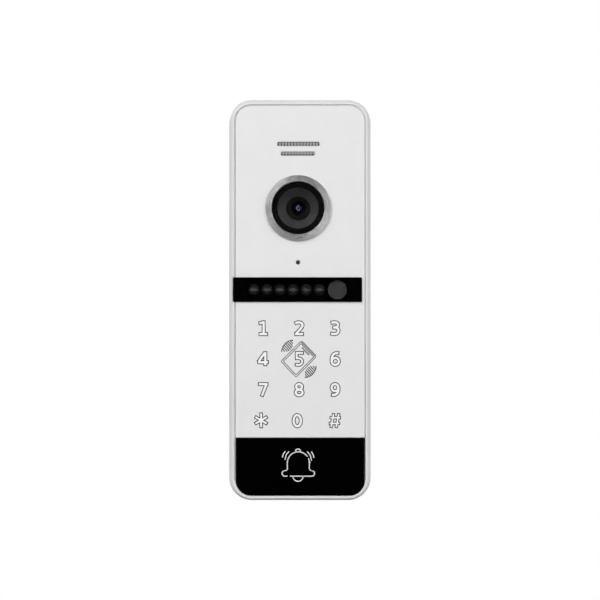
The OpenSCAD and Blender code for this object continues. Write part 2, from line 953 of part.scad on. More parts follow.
module relay() {
    color("ivory") slab(main_front, main_front + relay_t) {
        translate([12, -45]) square([relay_w, relay_h], center = true);
    }
}

module power_inductor() {
    color([0.25, 0.25, 0.25]) slab(main_front, main_front + inductor_t) {
        translate([13, -24]) rounded(inductor_size, inductor_size, 1.5);
    }
}

module terminal_block() {
    low = terminal_z - terminal_h / 2;
    width = terminal_poles * terminal_pitch;
    color("green") difference() {
        slab(terminal_back, main_back) box_outline(-width / 2, low, width / 2, low + terminal_h);
        for (i = [0 : terminal_poles - 1]) {
            x = (i - (terminal_poles - 1) / 2) * terminal_pitch;
            disc(x, terminal_z, terminal_screw_r + 0.1, terminal_back - over, terminal_back + 2);
            // wire entry in the top face
            slab(terminal_back + 2.2, main_back - 0.6) {
                box_outline(x - 1.4, terminal_z + 1.8, x + 1.4, low + terminal_h + over);
            }
        }
    }
}

module terminal_screws() {
    color("silver") for (i = [0 : terminal_poles - 1]) {
        x = (i - (terminal_poles - 1) / 2) * terminal_pitch;
        disc(x, terminal_z, terminal_screw_r, terminal_back + 0.4, terminal_back + 2);
    }
}

// Socket, pins and plug that join the main board to the keypad board.
module pin_header() {
    width = header_pins * header_pitch;
    color([0.1, 0.1, 0.1]) {
        for (from = [main_front, keypad_board_back - header_block]) {
            slab(from, from + header_block) {
                translate([0, header_z]) square([width, header_t], center = true);
            }
        }
        slab(main_front + 1, keypad_board_back - 1) for (i = [0 : header_pins - 1]) {
            translate([(i - (header_pins - 1) / 2) * header_pitch, header_z]) square(0.5, center = true);
        }
    }
}

module ribbon_connectors() {
    color("ivory") {
        slab(camera_board_back - connector_t, camera_board_back) {
            translate([camera_x, camera_connector_z]) square([connector_w, 3], center = true);
        }
        slab(main_back - connector_t, main_back) {
            translate([camera_x, main_connector_z]) square([connector_w, 3], center = true);
        }
    }
}

module camera_ribbon() {
    high = camera_connector_z - 1.5;
    low = main_connector_z + 1.5;
    rear = camera_board_back - 1;
    front = main_back - 0.8;
    color("chocolate") across(camera_x - ribbon_w / 2, camera_x + ribbon_w / 2) polygon([
        [-rear, high], [-rear, high - 2], [-front, low + 2], [-front, low],
        [-front - ribbon_t, low], [-front - ribbon_t, low + 2], [-rear - ribbon_t, high - 2],
        [-rear - ribbon_t, high]]);
}

// ---------- call button ----------

module button_board() {
    color("darkgreen") slab(button_board_front - small_board_t, button_board_front) difference() {
        translate([0, button_z]) rounded(button_board_w, button_board_h, 1);
        for (s = [-1, 1]) translate([s * button_post_x, button_z]) circle(screw_pass_r);
    }
}

module bell_leds() {
    color("lightyellow") slab(button_board_front, button_board_front + 0.7) {
        for (s = [-1, 1]) translate([s * bell_led_x, button_z]) square([1.6, 3], center = true);
    }
}

module tact_switch() {
    color([0.15, 0.15, 0.15]) difference() {
        slab(button_board_front, button_board_front + switch_h) {
            translate([0, button_z]) square(switch_size, center = true);
        }
        disc(0, button_z, switch_bore_r, button_board_front + 0.6, button_board_front + switch_h + over);
    }
}

module button_seal() {
    color("black") slab(floor_front, floor_front + 0.4) translate([0, button_z]) difference() {
        rounded(floor_slot_w + 4, floor_slot_h + 3, 3);
        rounded(floor_slot_w + 0.8, floor_slot_h + 0.8, 2.2);
    }
}

// A spring leg whose barb catches behind the sunken floor.
module button_leg(x, side) {
    z = button_z + side * leg_offset;
    barb_z = z + side * (leg_t + leg_barb) / 2;
    slab(leg_low, button_back + 0.1) translate([x, z]) square([leg_w, leg_t], center = true);
    slab(leg_low, floor_back - 0.1) translate([x, barb_z]) square([leg_w, leg_barb], center = true);
}

module bell_guide_outline(inset) {
    translate([0, button_z]) difference() {
        rounded(bell_guide_w - 2 * inset, bell_guide_h - 2 * inset, 1.5);
        circle(bell_guide_hole_r + inset);
    }
}

module call_button() {
    color([0.02, 0.02, 0.02]) {
        difference() {
            slab(button_back, button_front) below(button_top) face_outline(face_gap);
            slab(button_back - over, button_back + bell_guide_t + 0.05) bell_guide_outline(0);
        }
        disc(0, button_z, switch_stem_r - 0.2, switch_stem_top, button_back + 0.1);
        for (x = [-1, 1], side = [-1, 1]) button_leg(x * leg_x, side);
    }
}

module bell_light_guide() {
    color("white", 0.7) slab(button_back, button_back + bell_guide_t) bell_guide_outline(0.05);
}

module tact_plunger() {
    color([0.3, 0.3, 0.3]) disc(0, button_z, switch_stem_r, switch_stem_low, switch_stem_top);
}

wall_bracket();
lock_screw();
rear_cover();
rear_seal();
cable_grommet();
housing_screws();
front_housing();
front_panel();
ir_window();
camera_bezel();
camera_window();
window_gasket();
lens_hood();
lens_barrel();
lens_front_element();
lens_holder();
infrared_filter();
image_sensor();
camera_board();
small_screws();
speaker_grille();
speaker_gasket();
speaker_basket();
speaker_cone();
speaker_magnet();
microphone();
mic_boot();
ir_board();
ir_led_1();
ir_led_2();
ir_led_3();
ir_led_4();
ir_led_5();
ir_led_6();
light_sensor();
keypad_board();
touch_electrodes();
backlight_guide();
key_leds();
rfid_coil();
main_board();
board_screws();
processor_chip();
board_chips();
capacitors();
relay();
power_inductor();
terminal_block();
terminal_screws();
pin_header();
ribbon_connectors();
camera_ribbon();
button_board();
bell_leds();
tact_switch();
button_seal();
call_button();
bell_light_guide();
tact_plunger();
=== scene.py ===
"""Looks of a surface-mounted video door station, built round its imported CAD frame.

Shapes are drawn in millimetres as the CAD has them and scaled to metres when a piece is made.
"Depth" means millimetres in front of the wall, so depth d lies at y = -d. The front faces -Y.
"""

import math

import bmesh
import bpy
from mathutils import Matrix, Vector
from mathutils.geometry import delaunay_2d_cdt

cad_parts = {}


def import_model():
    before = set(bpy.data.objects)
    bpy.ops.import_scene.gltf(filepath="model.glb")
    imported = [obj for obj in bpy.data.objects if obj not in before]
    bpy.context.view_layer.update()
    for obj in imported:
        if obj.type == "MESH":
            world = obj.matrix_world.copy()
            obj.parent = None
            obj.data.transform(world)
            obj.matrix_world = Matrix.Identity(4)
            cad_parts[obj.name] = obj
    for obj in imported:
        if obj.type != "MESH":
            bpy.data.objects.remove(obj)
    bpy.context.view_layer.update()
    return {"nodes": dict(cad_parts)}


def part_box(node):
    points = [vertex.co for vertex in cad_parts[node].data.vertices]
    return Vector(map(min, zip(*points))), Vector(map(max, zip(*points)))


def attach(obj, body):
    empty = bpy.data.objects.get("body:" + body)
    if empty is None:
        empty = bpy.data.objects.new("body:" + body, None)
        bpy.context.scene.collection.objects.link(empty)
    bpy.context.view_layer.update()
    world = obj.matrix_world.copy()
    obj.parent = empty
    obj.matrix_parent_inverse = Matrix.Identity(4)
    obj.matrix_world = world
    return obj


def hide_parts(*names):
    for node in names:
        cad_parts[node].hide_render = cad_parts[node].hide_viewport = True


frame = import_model()

MM = 0.001
TINY = 1e-6
CORNER_STEPS = 20
ROUND_STEPS = 96


# ---------- sizes, in millimetres ----------

def box_mm(node):
    low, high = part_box(node)
    return low / MM, high / MM


body_low, body_high = box_mm("front_housing")
panel_low, panel_high = box_mm("front_panel")
button_low, button_high = box_mm("call_button")
bar_low, bar_high = box_mm("ir_window")
bezel_low, bezel_high = box_mm("camera_bezel")
glass_low, glass_high = box_mm("camera_window")
hood_low, hood_high = box_mm("lens_hood")
barrel_low, barrel_high = box_mm("lens_barrel")
lens_low, lens_high = box_mm("lens_front_element")
grille_low, grille_high = box_mm("speaker_grille")

# corner radii of the housing, of its lip's inner edge, of panel and button, and of a sharp corner
CORNER_R, FACE_R, PANEL_R, SHARP_R = 9.0, 6.8, 6.15, 0.1
LIP_SIDE, LIP_TOP, LIP_BOTTOM = 1.95, 1.75, 1.25
GROOVE_W = 0.65
WALL_T = 1.6
BUTTON_T = 2.0
BUTTON_ROOM = 1.2
lip_front = -body_low.y
housing_back = -body_high.y
panel_front = -panel_low.y
panel_back = -panel_high.y
wall_back = panel_back - WALL_T
button_front = -button_low.y
button_back = button_front - BUTTON_T
floor_front = button_back - BUTTON_ROOM
floor_back = floor_front - WALL_T
camera_x = (bezel_low.x + bezel_high.x) / 2
camera_z = (bezel_low.z + bezel_high.z) / 2
CAMERA_HOLE_R = 12.5
SPEAKER = (-0.7, 62.0)
# slots as x, z, width and height
UPPER_SLOT = (-0.6, 62.4, 17.2, 1.8)
LOWER_SLOT = (-0.8, 58.5, 13.8, 1.8)
# microphone hole as x, z and radius
MIC = (-0.78, 15.1, 0.9)
# the block on the dark bar's back that fills its hole in the panel: low x and z, high x and z
PLUG = (-21.2, 0.35, 19.2, 8.05)
GROOVE_FLOOR = 22.35
BUTTON_GROOVE_FLOOR = 22.88
GAP = 0.1
# panel and button together stand in a well inside the lip
PANEL_RIGHT = panel_high.x + 0.25
PANEL_BOTTOM = panel_low.z - 0.13
WELL_TOP = body_high.z - LIP_TOP - GROOVE_W
WELL_BOTTOM = body_low.z + LIP_BOTTOM + GROOVE_W
# what the visual moves from the CAD's box of a part
BAR_LEFT, BAR_RIGHT = 0.03, 0.12
BUTTON_LEFT, BUTTON_RIGHT = 0.3, 0.02
RING_DROP, RING_TRIM = 0.45, 0.24
BUTTON_Z = -67.0
# places of the button's four legs from its middle
LEG_X, LEG_Z = 15, 8.5
SIDES = (-1, 1)
QUARTERS = [(sx, sz) for sx in SIDES for sz in SIDES]


# ---------- outlines: lists of (x, z), counter-clockwise ----------

def rect(x0, z0, x1, z1, radii, inset=0.0, steps=CORNER_STEPS):
    """Rectangle with corner radii (low left, low right, top right, top left), drawn in by inset."""
    least_r = 0.02
    x0, z0, x1, z1 = x0 + inset, z0 + inset, x1 - inset, z1 - inset
    corners = ((x0, z0, 1, 1, 180), (x1, z0, -1, 1, 270), (x1, z1, -1, -1, 0), (x0, z1, 1, -1, 90))
    points = []
    for (x, z, sx, sz, start), radius in zip(corners, radii):
        r = max(radius - inset, least_r)
        for i in range(steps + 1):
            angle = math.radians(start + 90 * i / steps)
            point = (x + sx * r + r * math.cos(angle), z + sz * r + r * math.sin(angle))
            if not points or math.dist(point, points[-1]) > TINY:
                points.append(point)
    if math.dist(points[0], points[-1]) <= TINY:
        points.pop()
    return points


def circle(x, z, r, steps=ROUND_STEPS):
    return [(x + r * math.cos(math.tau * i / steps), z + r * math.sin(math.tau * i / steps))
            for i in range(steps)]


def pill(x, z, w, h, inset=0.0):
    return rect(x - w / 2, z - h / 2, x + w / 2, z + h / 2, [h / 2] * 4, inset, 12)


def centred(x, z, w, h, r, inset=0.0, steps=CORNER_STEPS):
    return rect(x - w / 2, z - h / 2, x + w / 2, z + h / 2, [r] * 4, inset, steps)


# ---------- mesh building, all in millimetres ----------

def at(point, depth):
    return Vector((point[0], -depth, point[1]))


def to_mesh(bm, turn_out=True):
    """Makes the mesh, with every face turned outwards unless they are so already."""
    if turn_out:
        bmesh.ops.recalc_face_normals(bm, faces=bm.faces)
    mesh = bpy.data.meshes.new("part")
    bm.to_mesh(mesh)
    bm.free()
    return mesh


def ring(bm, points, depth):
    return [bm.verts.new(at(p, depth)) for p in points]


def bridge(bm, a, b):
    n = len(a)
    for i in range(n):
        bm.faces.new((a[i], a[(i + 1) % n], b[(i + 1) % n], b[i]))


def inside(x, z, points):
    """True if x, z lies within the closed outline."""
    result = False
    for (ax, az), (bx, bz) in zip(points, points[1:] + points[:1]):
        if (az > z) != (bz > z) and x < ax + (z - az) * (bx - ax) / (bz - az):
            result = not result
    return result


def fill(bm, rings):
    """Closes a plane between an outer ring and the rings of its holes."""
    if len(rings) == 1:
        bm.faces.new(rings[0])
        return
    verts = [v for loop in rings for v in loop]
    edges = []
    for loop in rings:
        start = len(edges)
        edges += [(start + i, start + (i + 1) % len(loop)) for i in range(len(loop))]
    flat = [Vector((v.co.x, v.co.z)) for v in verts]
    _, _, triangles, origins, _, _ = delaunay_2d_cdt(flat, edges, [], 0, TINY, True)
    outline, *holes = [[(v.co.x, v.co.z) for v in loop] for loop in rings]
    for triangle in triangles:
        corners = [verts[origins[i][0]] for i in triangle]
        x, z = sum(v.co.x for v in corners) / 3, sum(v.co.z for v in corners) / 3
        if inside(x, z, outline) and not any(inside(x, z, hole) for hole in holes):
            bm.faces.new(corners)


def loft(rows, holes=()):
    """Closed solid through rows of (points, depth), with holes that are rows of their own."""
    bm = bmesh.new()
    starts, ends = [], []
    for one in (rows, *holes):
        rings = [ring(bm, points, depth) for points, depth in one]
        for a, b in zip(rings, rings[1:]):
            bridge(bm, a, b)
        starts.append(rings[0])
        ends.append(rings[-1])
    fill(bm, starts)
    fill(bm, ends)
    return to_mesh(bm)


def prism(points, back, front, holes=()):
    """Straight solid between two depths. Its holes are outlines, and go right through."""
    return loft([(points, back), (points, front)], [[(hole, back), (hole, front)] for hole in holes])


def disc(x, z, r, back, front):
    return prism(circle(x, z, r), back, front)


def lathe(profile, x, z, steps=ROUND_STEPS):
    """Turns a closed outline of (radius, depth) about an axis that points out of the wall."""
    bm = bmesh.new()
    rings = []
    for r, depth in profile:
        if r < TINY:
            rings.append([bm.verts.new(at((x, z), depth))])
        else:
            rings.append(ring(bm, circle(x, z, r, steps), depth))
    for a, b in zip(rings, rings[1:] + rings[:1]):
        if len(a) == 1 and len(b) == 1:
            continue
        if len(a) == 1 or len(b) == 1:
            tip, loop = (a[0], b) if len(a) == 1 else (b[0], a)
            for i in range(steps):
                bm.faces.new((tip, loop[i], loop[(i + 1) % steps]))
        else:
            bridge(bm, a, b)
    return to_mesh(bm)


def merged(meshes):
    """One mesh out of several, which it uses up."""
    bm = bmesh.new()
    for mesh in meshes:
        bm.from_mesh(mesh)
        bpy.data.meshes.remove(mesh)
    return to_mesh(bm, turn_out=False)


def carve(mesh, operation, tools, crossing=False):
    """Adds tools to a mesh (UNION) or takes them away (DIFFERENCE). Crossing: a mesh cuts itself."""
    scene = bpy.context.scene.collection
    base = bpy.data.objects.new("base", mesh)
    scene.objects.link(base)
    cutters = []
    for tool in tools:
        cutter = bpy.data.objects.new("tool", tool)
        scene.objects.link(cutter)
        cutters.append(cutter)
        modifier = base.modifiers.new("carve", "BOOLEAN")
        modifier.operation = operation
        modifier.solver = "EXACT"
        modifier.use_self = crossing
        modifier.object = cutter
    graph = bpy.context.evaluated_depsgraph_get()
    result = bpy.data.meshes.new_from_object(base.evaluated_get(graph))
    for obj in (base, *cutters):
        data = obj.data
        bpy.data.objects.remove(obj)
        bpy.data.meshes.remove(data)
    return result


def rounding(depth, radius, steps=4):
    """(inset, depth) pairs of a rounded edge that ends on a flat face at that depth."""
    angles = [math.pi / 2 * i / steps for i in range(steps + 1)]
    return [(radius * (1 - math.cos(a)), depth - radius * (1 - math.sin(a))) for a in angles]


def piece(name, mesh, look, replaces=(), body="station", sharp=35):
    """Makes an object in metres from a mesh in millimetres, and fastens it to its body."""
    mesh.transform(Matrix.Scale(MM, 4))
    mesh.name = name
    mesh.materials.clear()
    mesh.materials.append(looks[look])
    mesh.polygons.foreach_set("use_smooth", [True] * len(mesh.polygons))
    mesh.set_sharp_from_angle(angle=math.radians(sharp))
    obj = bpy.data.objects.new(name, mesh)
    bpy.context.scene.collection.objects.link(obj)
    even = obj.modifiers.new("even_shading", "WEIGHTED_NORMAL")
    even.keep_sharp = True
    even.weight = 100
    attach(obj, body)
    if replaces:
        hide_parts(*replaces)


# ---------- materials ----------

def wire(tree, node, inputs):
    """Sets a node's inputs, each to a value or to another node's output."""
    for socket, value in inputs.items():
        if isinstance(value, bpy.types.NodeSocket):
            tree.links.new(value, node.inputs[socket])
        else:
            node.inputs[socket].default_value = value


def add(tree, kind, inputs=None):
    node = tree.nodes.new("ShaderNode" + kind)
    wire(tree, node, inputs or {})
    return node


def calculate(tree, kind, operation, *inputs, output=0):
    """The result of a new Math or VectorMath node."""
    node = add(tree, kind, dict(enumerate(inputs)))
    node.operation = operation
    return node.outputs[output]


def start_material(name):
    material = bpy.data.materials.new(name)
    material.use_nodes = True
    tree = material.node_tree
    return material, tree, tree.nodes["Principled BSDF"], add(tree, "TexCoord").outputs["Object"]


def noise(tree, place, size, detail=3.0, squeeze=(1, 1, 1)):
    """Noise whose features are about size metres across, and shorter by squeeze along each axis."""
    mapping = add(tree, "Mapping", {"Vector": place, "Scale": squeeze})
    texture = add(tree, "TexNoise", {"Vector": mapping.outputs["Vector"], "Scale": 1 / size,
                                     "Detail": detail})
    return texture.outputs["Fac"]


def remap(tree, value, from_low, from_high, to_low, to_high):
    node = add(tree, "MapRange", {"Value": value, "From Min": from_low, "From Max": from_high,
                                  "To Min": to_low, "To Max": to_high})
    return node.outputs["Result"]


# most of a noise's values lie between these
NOISE_LOW, NOISE_HIGH = 0.3, 0.7


def spread(tree, value, low, high):
    """Maps a noise onto low..high."""
    return remap(tree, value, NOISE_LOW, NOISE_HIGH, low, high)


def tint(tree, value, dark, light):
    """Maps a noise onto the colours from dark to light."""
    ramp = add(tree, "ValToRGB", {"Fac": value})
    stops = zip(ramp.color_ramp.elements, (NOISE_LOW, NOISE_HIGH), (dark, light))
    for element, position, colour in stops:
        element.position = position
        element.color = (*colour, 1)
    return ramp.outputs["Color"]


def bump(tree, bsdf, height, distance):
    node = add(tree, "Bump", {"Height": height, "Distance": distance})
    wire(tree, bsdf, {"Normal": node.outputs["Normal"]})


def scaled(colour, factor):
    return tuple(min(c * factor, 1.0) for c in colour)


def finish_of(name, colour, roughness, vary=0.05, patch=0.012, grain=0.0005, relief=0.00001,
              rough_spread=0.06, metallic=0.0, specular=0.5, squeeze=(1, 1, 1)):
    """A solid material: patches of colour, uneven gloss and a fine grain, each from noise."""
    material, tree, bsdf, place = start_material(name)
    patches = noise(tree, place, patch)
    fine = noise(tree, place, grain, 4.0, squeeze)
    wire(tree, bsdf, {
        "Metallic": metallic,
        "Specular IOR Level": specular,
        "Base Color": tint(tree, patches, scaled(colour, 1 - vary), scaled(colour, 1 + vary)),
        "Roughness": spread(tree, fine, roughness - rough_spread, roughness + rough_spread),
    })
    bump(tree, bsdf, fine, relief)
    return material


def see_through(name, clear, gloss_rough=0.03, ior=1.45):
    """A window: tinted light goes through it, with gloss on top and faint smears in the gloss."""
    material, tree, bsdf, place = start_material(name)
    tree.nodes.remove(bsdf)
    smear = 0.004
    smears = noise(tree, place, smear)
    colour = tint(tree, smears, scaled(clear, 0.97), scaled(clear, 1.03))
    through = add(tree, "BsdfTransparent", {"Color": colour})
    roughness = spread(tree, smears, gloss_rough * 0.6, gloss_rough * 1.4)
    gloss = add(tree, "BsdfGlossy", {"Roughness": roughness})
    gloss.distribution = "GGX"
    mix = add(tree, "MixShader", {"Fac": add(tree, "Fresnel", {"IOR": ior}).outputs["Fac"],
                                  1: through.outputs["BSDF"], 2: gloss.outputs["BSDF"]})
    wire(tree, tree.nodes["Material Output"], {"Surface": mix.outputs["Shader"]})
    return material


def brushed_ring(name):
    """Aluminium turned on a lathe: fine rings about the camera's axis, and fans of light."""
    material, tree, bsdf, place = start_material(name)
    centre = calculate(tree, "VectorMath", "SUBTRACT", place, (camera_x * MM, 0, camera_z * MM))
    flat = calculate(tree, "VectorMath", "MULTIPLY", centre, (1, 0, 1))
    radius = calculate(tree, "VectorMath", "LENGTH", flat, output="Value")
    # the radius picks the groove, and the direction only changes it slowly
    direction = calculate(tree, "VectorMath", "NORMALIZE", flat)
    across = add(tree, "CombineXYZ", {"Y": radius}).outputs["Vector"]
    wander, groove = 0.0012, 0.00022
    lanes = calculate(tree, "VectorMath", "MULTIPLY_ADD", direction, (wander, 0, wander), across)
    grooves = noise(tree, lanes, groove, 5.0)
    tangent = add(tree, "Tangent")
    tangent.direction_type = "RADIAL"
    tangent.axis = "Y"
    wire(tree, bsdf, {
        "Metallic": 0.75,
        "Anisotropic": 0.7,
        "Anisotropic Rotation": 0.25,
        "Tangent": tangent.outputs["Tangent"],
        "Base Color": tint(tree, grooves, (0.40, 0.40, 0.405), (0.70, 0.70, 0.705)),
        "Roughness": spread(tree, grooves, 0.26, 0.42),
    })
    bump(tree, bsdf, grooves, 0.00002)
    return material


# colour, roughness, and what else differs from the usual finish
FINISHES = {
    "frame_plastic": ((0.76, 0.765, 0.77), 0.42, dict(vary=0.02, grain=0.0004, relief=1.2e-5)),
    "panel_white": ((0.80, 0.80, 0.80), 0.45, dict(vary=0.012, grain=0.0006)),
    "gloss_black": ((0.0005, 0.0005, 0.00055), 0.08, dict(vary=0.2, rough_spread=0.02, relief=1e-6,
        specular=0.4)),
    "black_rubber": ((0.003, 0.003, 0.003), 0.7, dict(vary=0.25, grain=0.0003, specular=0.15)),
    "hood_plastic": ((0.065, 0.061, 0.059), 0.5, dict(vary=0.1, grain=0.0002, relief=8e-6)),
    "barrel_black": ((0.0012, 0.0012, 0.001), 0.4, dict(vary=0.2, grain=0.0002, specular=0.15)),
    "barrel_grey": ((0.020, 0.0195, 0.0175), 0.6, dict(vary=0.15, grain=0.0002, specular=0.15)),
    "grille_grey": ((0.36, 0.36, 0.36), 0.45, dict(vary=0.08, grain=0.0002)),
    "led_epoxy": ((0.116, 0.116, 0.119), 0.35, dict(vary=0.1, relief=2e-6)),
    # painted highlight: the light leaves on the lamp domes that stand in for the glint on each lead frame
    "lamp_glint_paint": ((0.42, 0.42, 0.43), 0.45, dict(vary=0.1, patch=0.001, relief=2e-6)),
    "sensor_face": ((0.37, 0.37, 0.372), 0.45, dict(vary=0.06, squeeze=(1, 1, 6))),
    "bracket_steel": ((0.56, 0.57, 0.58), 0.38, dict(vary=0.12, patch=0.006, grain=0.0006, metallic=1.0,
        relief=8e-6, squeeze=(1, 1, 0.1))),
    "screw_steel": ((0.50, 0.50, 0.51), 0.3, dict(vary=0.1, patch=0.003, metallic=1.0, relief=4e-6)),
    "board_green": ((0.012, 0.10, 0.035), 0.35, dict(vary=0.2, patch=0.003, grain=0.0006,
        relief=8e-6)),
    "board_black": ((0.001, 0.001, 0.001), 0.6, dict(vary=0.2, patch=0.003, specular=0.1)),
    "chip_black": ((0.02, 0.02, 0.022), 0.55, dict(vary=0.15, patch=0.002, grain=0.0003)),
    "copper": ((0.80, 0.42, 0.22), 0.3, dict(vary=0.1, patch=0.003, metallic=1.0, relief=4e-6)),
    "sensor_die": ((0.03, 0.05, 0.07), 0.2, dict(vary=0.3, patch=0.0008, relief=1e-6)),
    "light_guide": ((0.82, 0.83, 0.82), 0.3, dict(vary=0.03, patch=0.004)),
    "led_lens": ((0.85, 0.75, 0.35), 0.2, dict(vary=0.06, patch=0.001)),
    "speaker_steel": ((0.45, 0.46, 0.48), 0.35, dict(vary=0.1, patch=0.004, metallic=1.0,
        relief=6e-6)),
    "cone_paper": ((0.035, 0.033, 0.03), 0.85, dict(vary=0.25, patch=0.001, grain=0.0002,
        relief=4e-5)),
    "foam_black": ((0.015, 0.015, 0.015), 0.9, dict(vary=0.3, patch=0.001, grain=0.0002, relief=5e-5)),
    "capacitor_skin": ((0.05, 0.06, 0.10), 0.35, dict(vary=0.1, patch=0.002)),
    "relay_white": ((0.72, 0.71, 0.66), 0.4, dict(vary=0.03, patch=0.004)),
    "inductor_grey": ((0.06, 0.06, 0.065), 0.7, dict(vary=0.2, patch=0.001, relief=3e-5)),
    "terminal_green": ((0.03, 0.26, 0.07), 0.4, dict(vary=0.08, patch=0.003)),
    "connector_ivory": ((0.70, 0.66, 0.55), 0.45, dict(vary=0.04, patch=0.002)),
    "ribbon_amber": ((0.42, 0.18, 0.03), 0.3, dict(vary=0.1, patch=0.002, squeeze=(8, 1, 1))),
    "switch_black": ((0.02, 0.02, 0.02), 0.5, dict(vary=0.15, patch=0.001)),
    "speaker_grey": ((0.36, 0.36, 0.36), 0.45, dict(vary=0.06, grain=0.0002)),
    "coated_bead": ((0.42, 0.39, 0.58), 0.27, dict(vary=0.2, patch=0.0012, rough_spread=0.03,
        relief=5e-7, metallic=1.0)),
    "coated_glass": ((0.0006, 0.0006, 0.0045), 0.3, dict(vary=0.3, patch=0.0012, rough_spread=0.03,
        relief=5e-7, specular=0.1)),
    "legend_fill": ((0.94, 0.94, 0.94), 0.4, dict(vary=0.01, patch=0.003, grain=0.0002, relief=3e-6)),
    "legend_ink": ((0.025, 0.026, 0.028), 0.5, dict(vary=0.1, patch=0.002, grain=0.0002,
        relief=3e-6)),
    "band_grey": ((0.27, 0.27, 0.272), 0.5, dict(vary=0.06, patch=0.002, grain=0.0002, relief=3e-6)),
    "icon_ink": ((0.74, 0.74, 0.75), 0.4, dict(vary=0.04, patch=0.003, grain=0.0002, relief=3e-6)),
    "floor": ((0.30, 0.30, 0.30), 0.6, dict(vary=0.01, patch=0.3, grain=0.01)),
}
looks = {name: finish_of(name + "_look", colour, roughness, **more)
         for name, (colour, roughness, more) in FINISHES.items()}
looks["tinted_window"] = see_through("tinted_window_look", (0.7, 0.7, 0.7))
looks["clear_window"] = see_through("clear_window_look", (0.96, 0.97, 0.97))
looks["filter_glass"] = see_through("filter_glass_look", (0.75, 0.45, 0.5))
looks["lens_glass"] = see_through("lens_glass_look", (0.92, 0.91, 0.97), gloss_rough=0.12, ior=1.2)
looks["ring_aluminium"] = brushed_ring("ring_aluminium_look")


# ---------- CAD nodes that stay as they are ----------

def dress(node):
    """Gives a CAD node its look, and modifiers that soften its edges."""
    widest, share = 0.15, 0.12
    obj = frame["nodes"][node]
    for slot in obj.material_slots:
        slot.material = looks[slot.material.name.split(".")[0]]
    obj.data.polygons.foreach_set("use_smooth", [True] * len(obj.data.polygons))
    join = obj.modifiers.new("join_flats", "DECIMATE")
    join.decimate_type = "DISSOLVE"
    join.angle_limit = math.radians(1)
    low, high = box_mm(node)
    soften = obj.modifiers.new("soften", "BEVEL")
    soften.width = min(widest, min(high - low) * share) * MM
    soften.segments = 2
    soften.limit_method = "ANGLE"
    soften.angle_limit = math.radians(40)
    soften.harden_normals = True
    even = obj.modifiers.new("even_shading", "WEIGHTED_NORMAL")
    even.keep_sharp = True


for node_name in frame["nodes"]:
    dress(node_name)


# ---------- front housing ----------

def rim_outline(share):
    """Outline of the housing for share 0, of the opening inside its lip for share 1."""
    side, top, low = LIP_SIDE * share, LIP_TOP * share, LIP_BOTTOM * share
    r = CORNER_R - (CORNER_R - FACE_R) * share
    return rect(body_low.x + side, body_low.z + low, body_high.x - side, body_high.z - top, [r] * 4)


def well_outline(gap):
    """Outline of panel and button together, drawn out by a gap."""
    return rect(panel_low.x, WELL_BOTTOM, PANEL_RIGHT, WELL_TOP, [PANEL_R] * 4, -gap)


def hollow_post(x, z, r, hole_r, back, front, hole_end):
    """Screw post that is open at its back."""
    return lathe([(hole_r, back), (r, back), (r, front), (0, front), (0, hole_end), (hole_r, hole_end)],
                 x, z, 48)


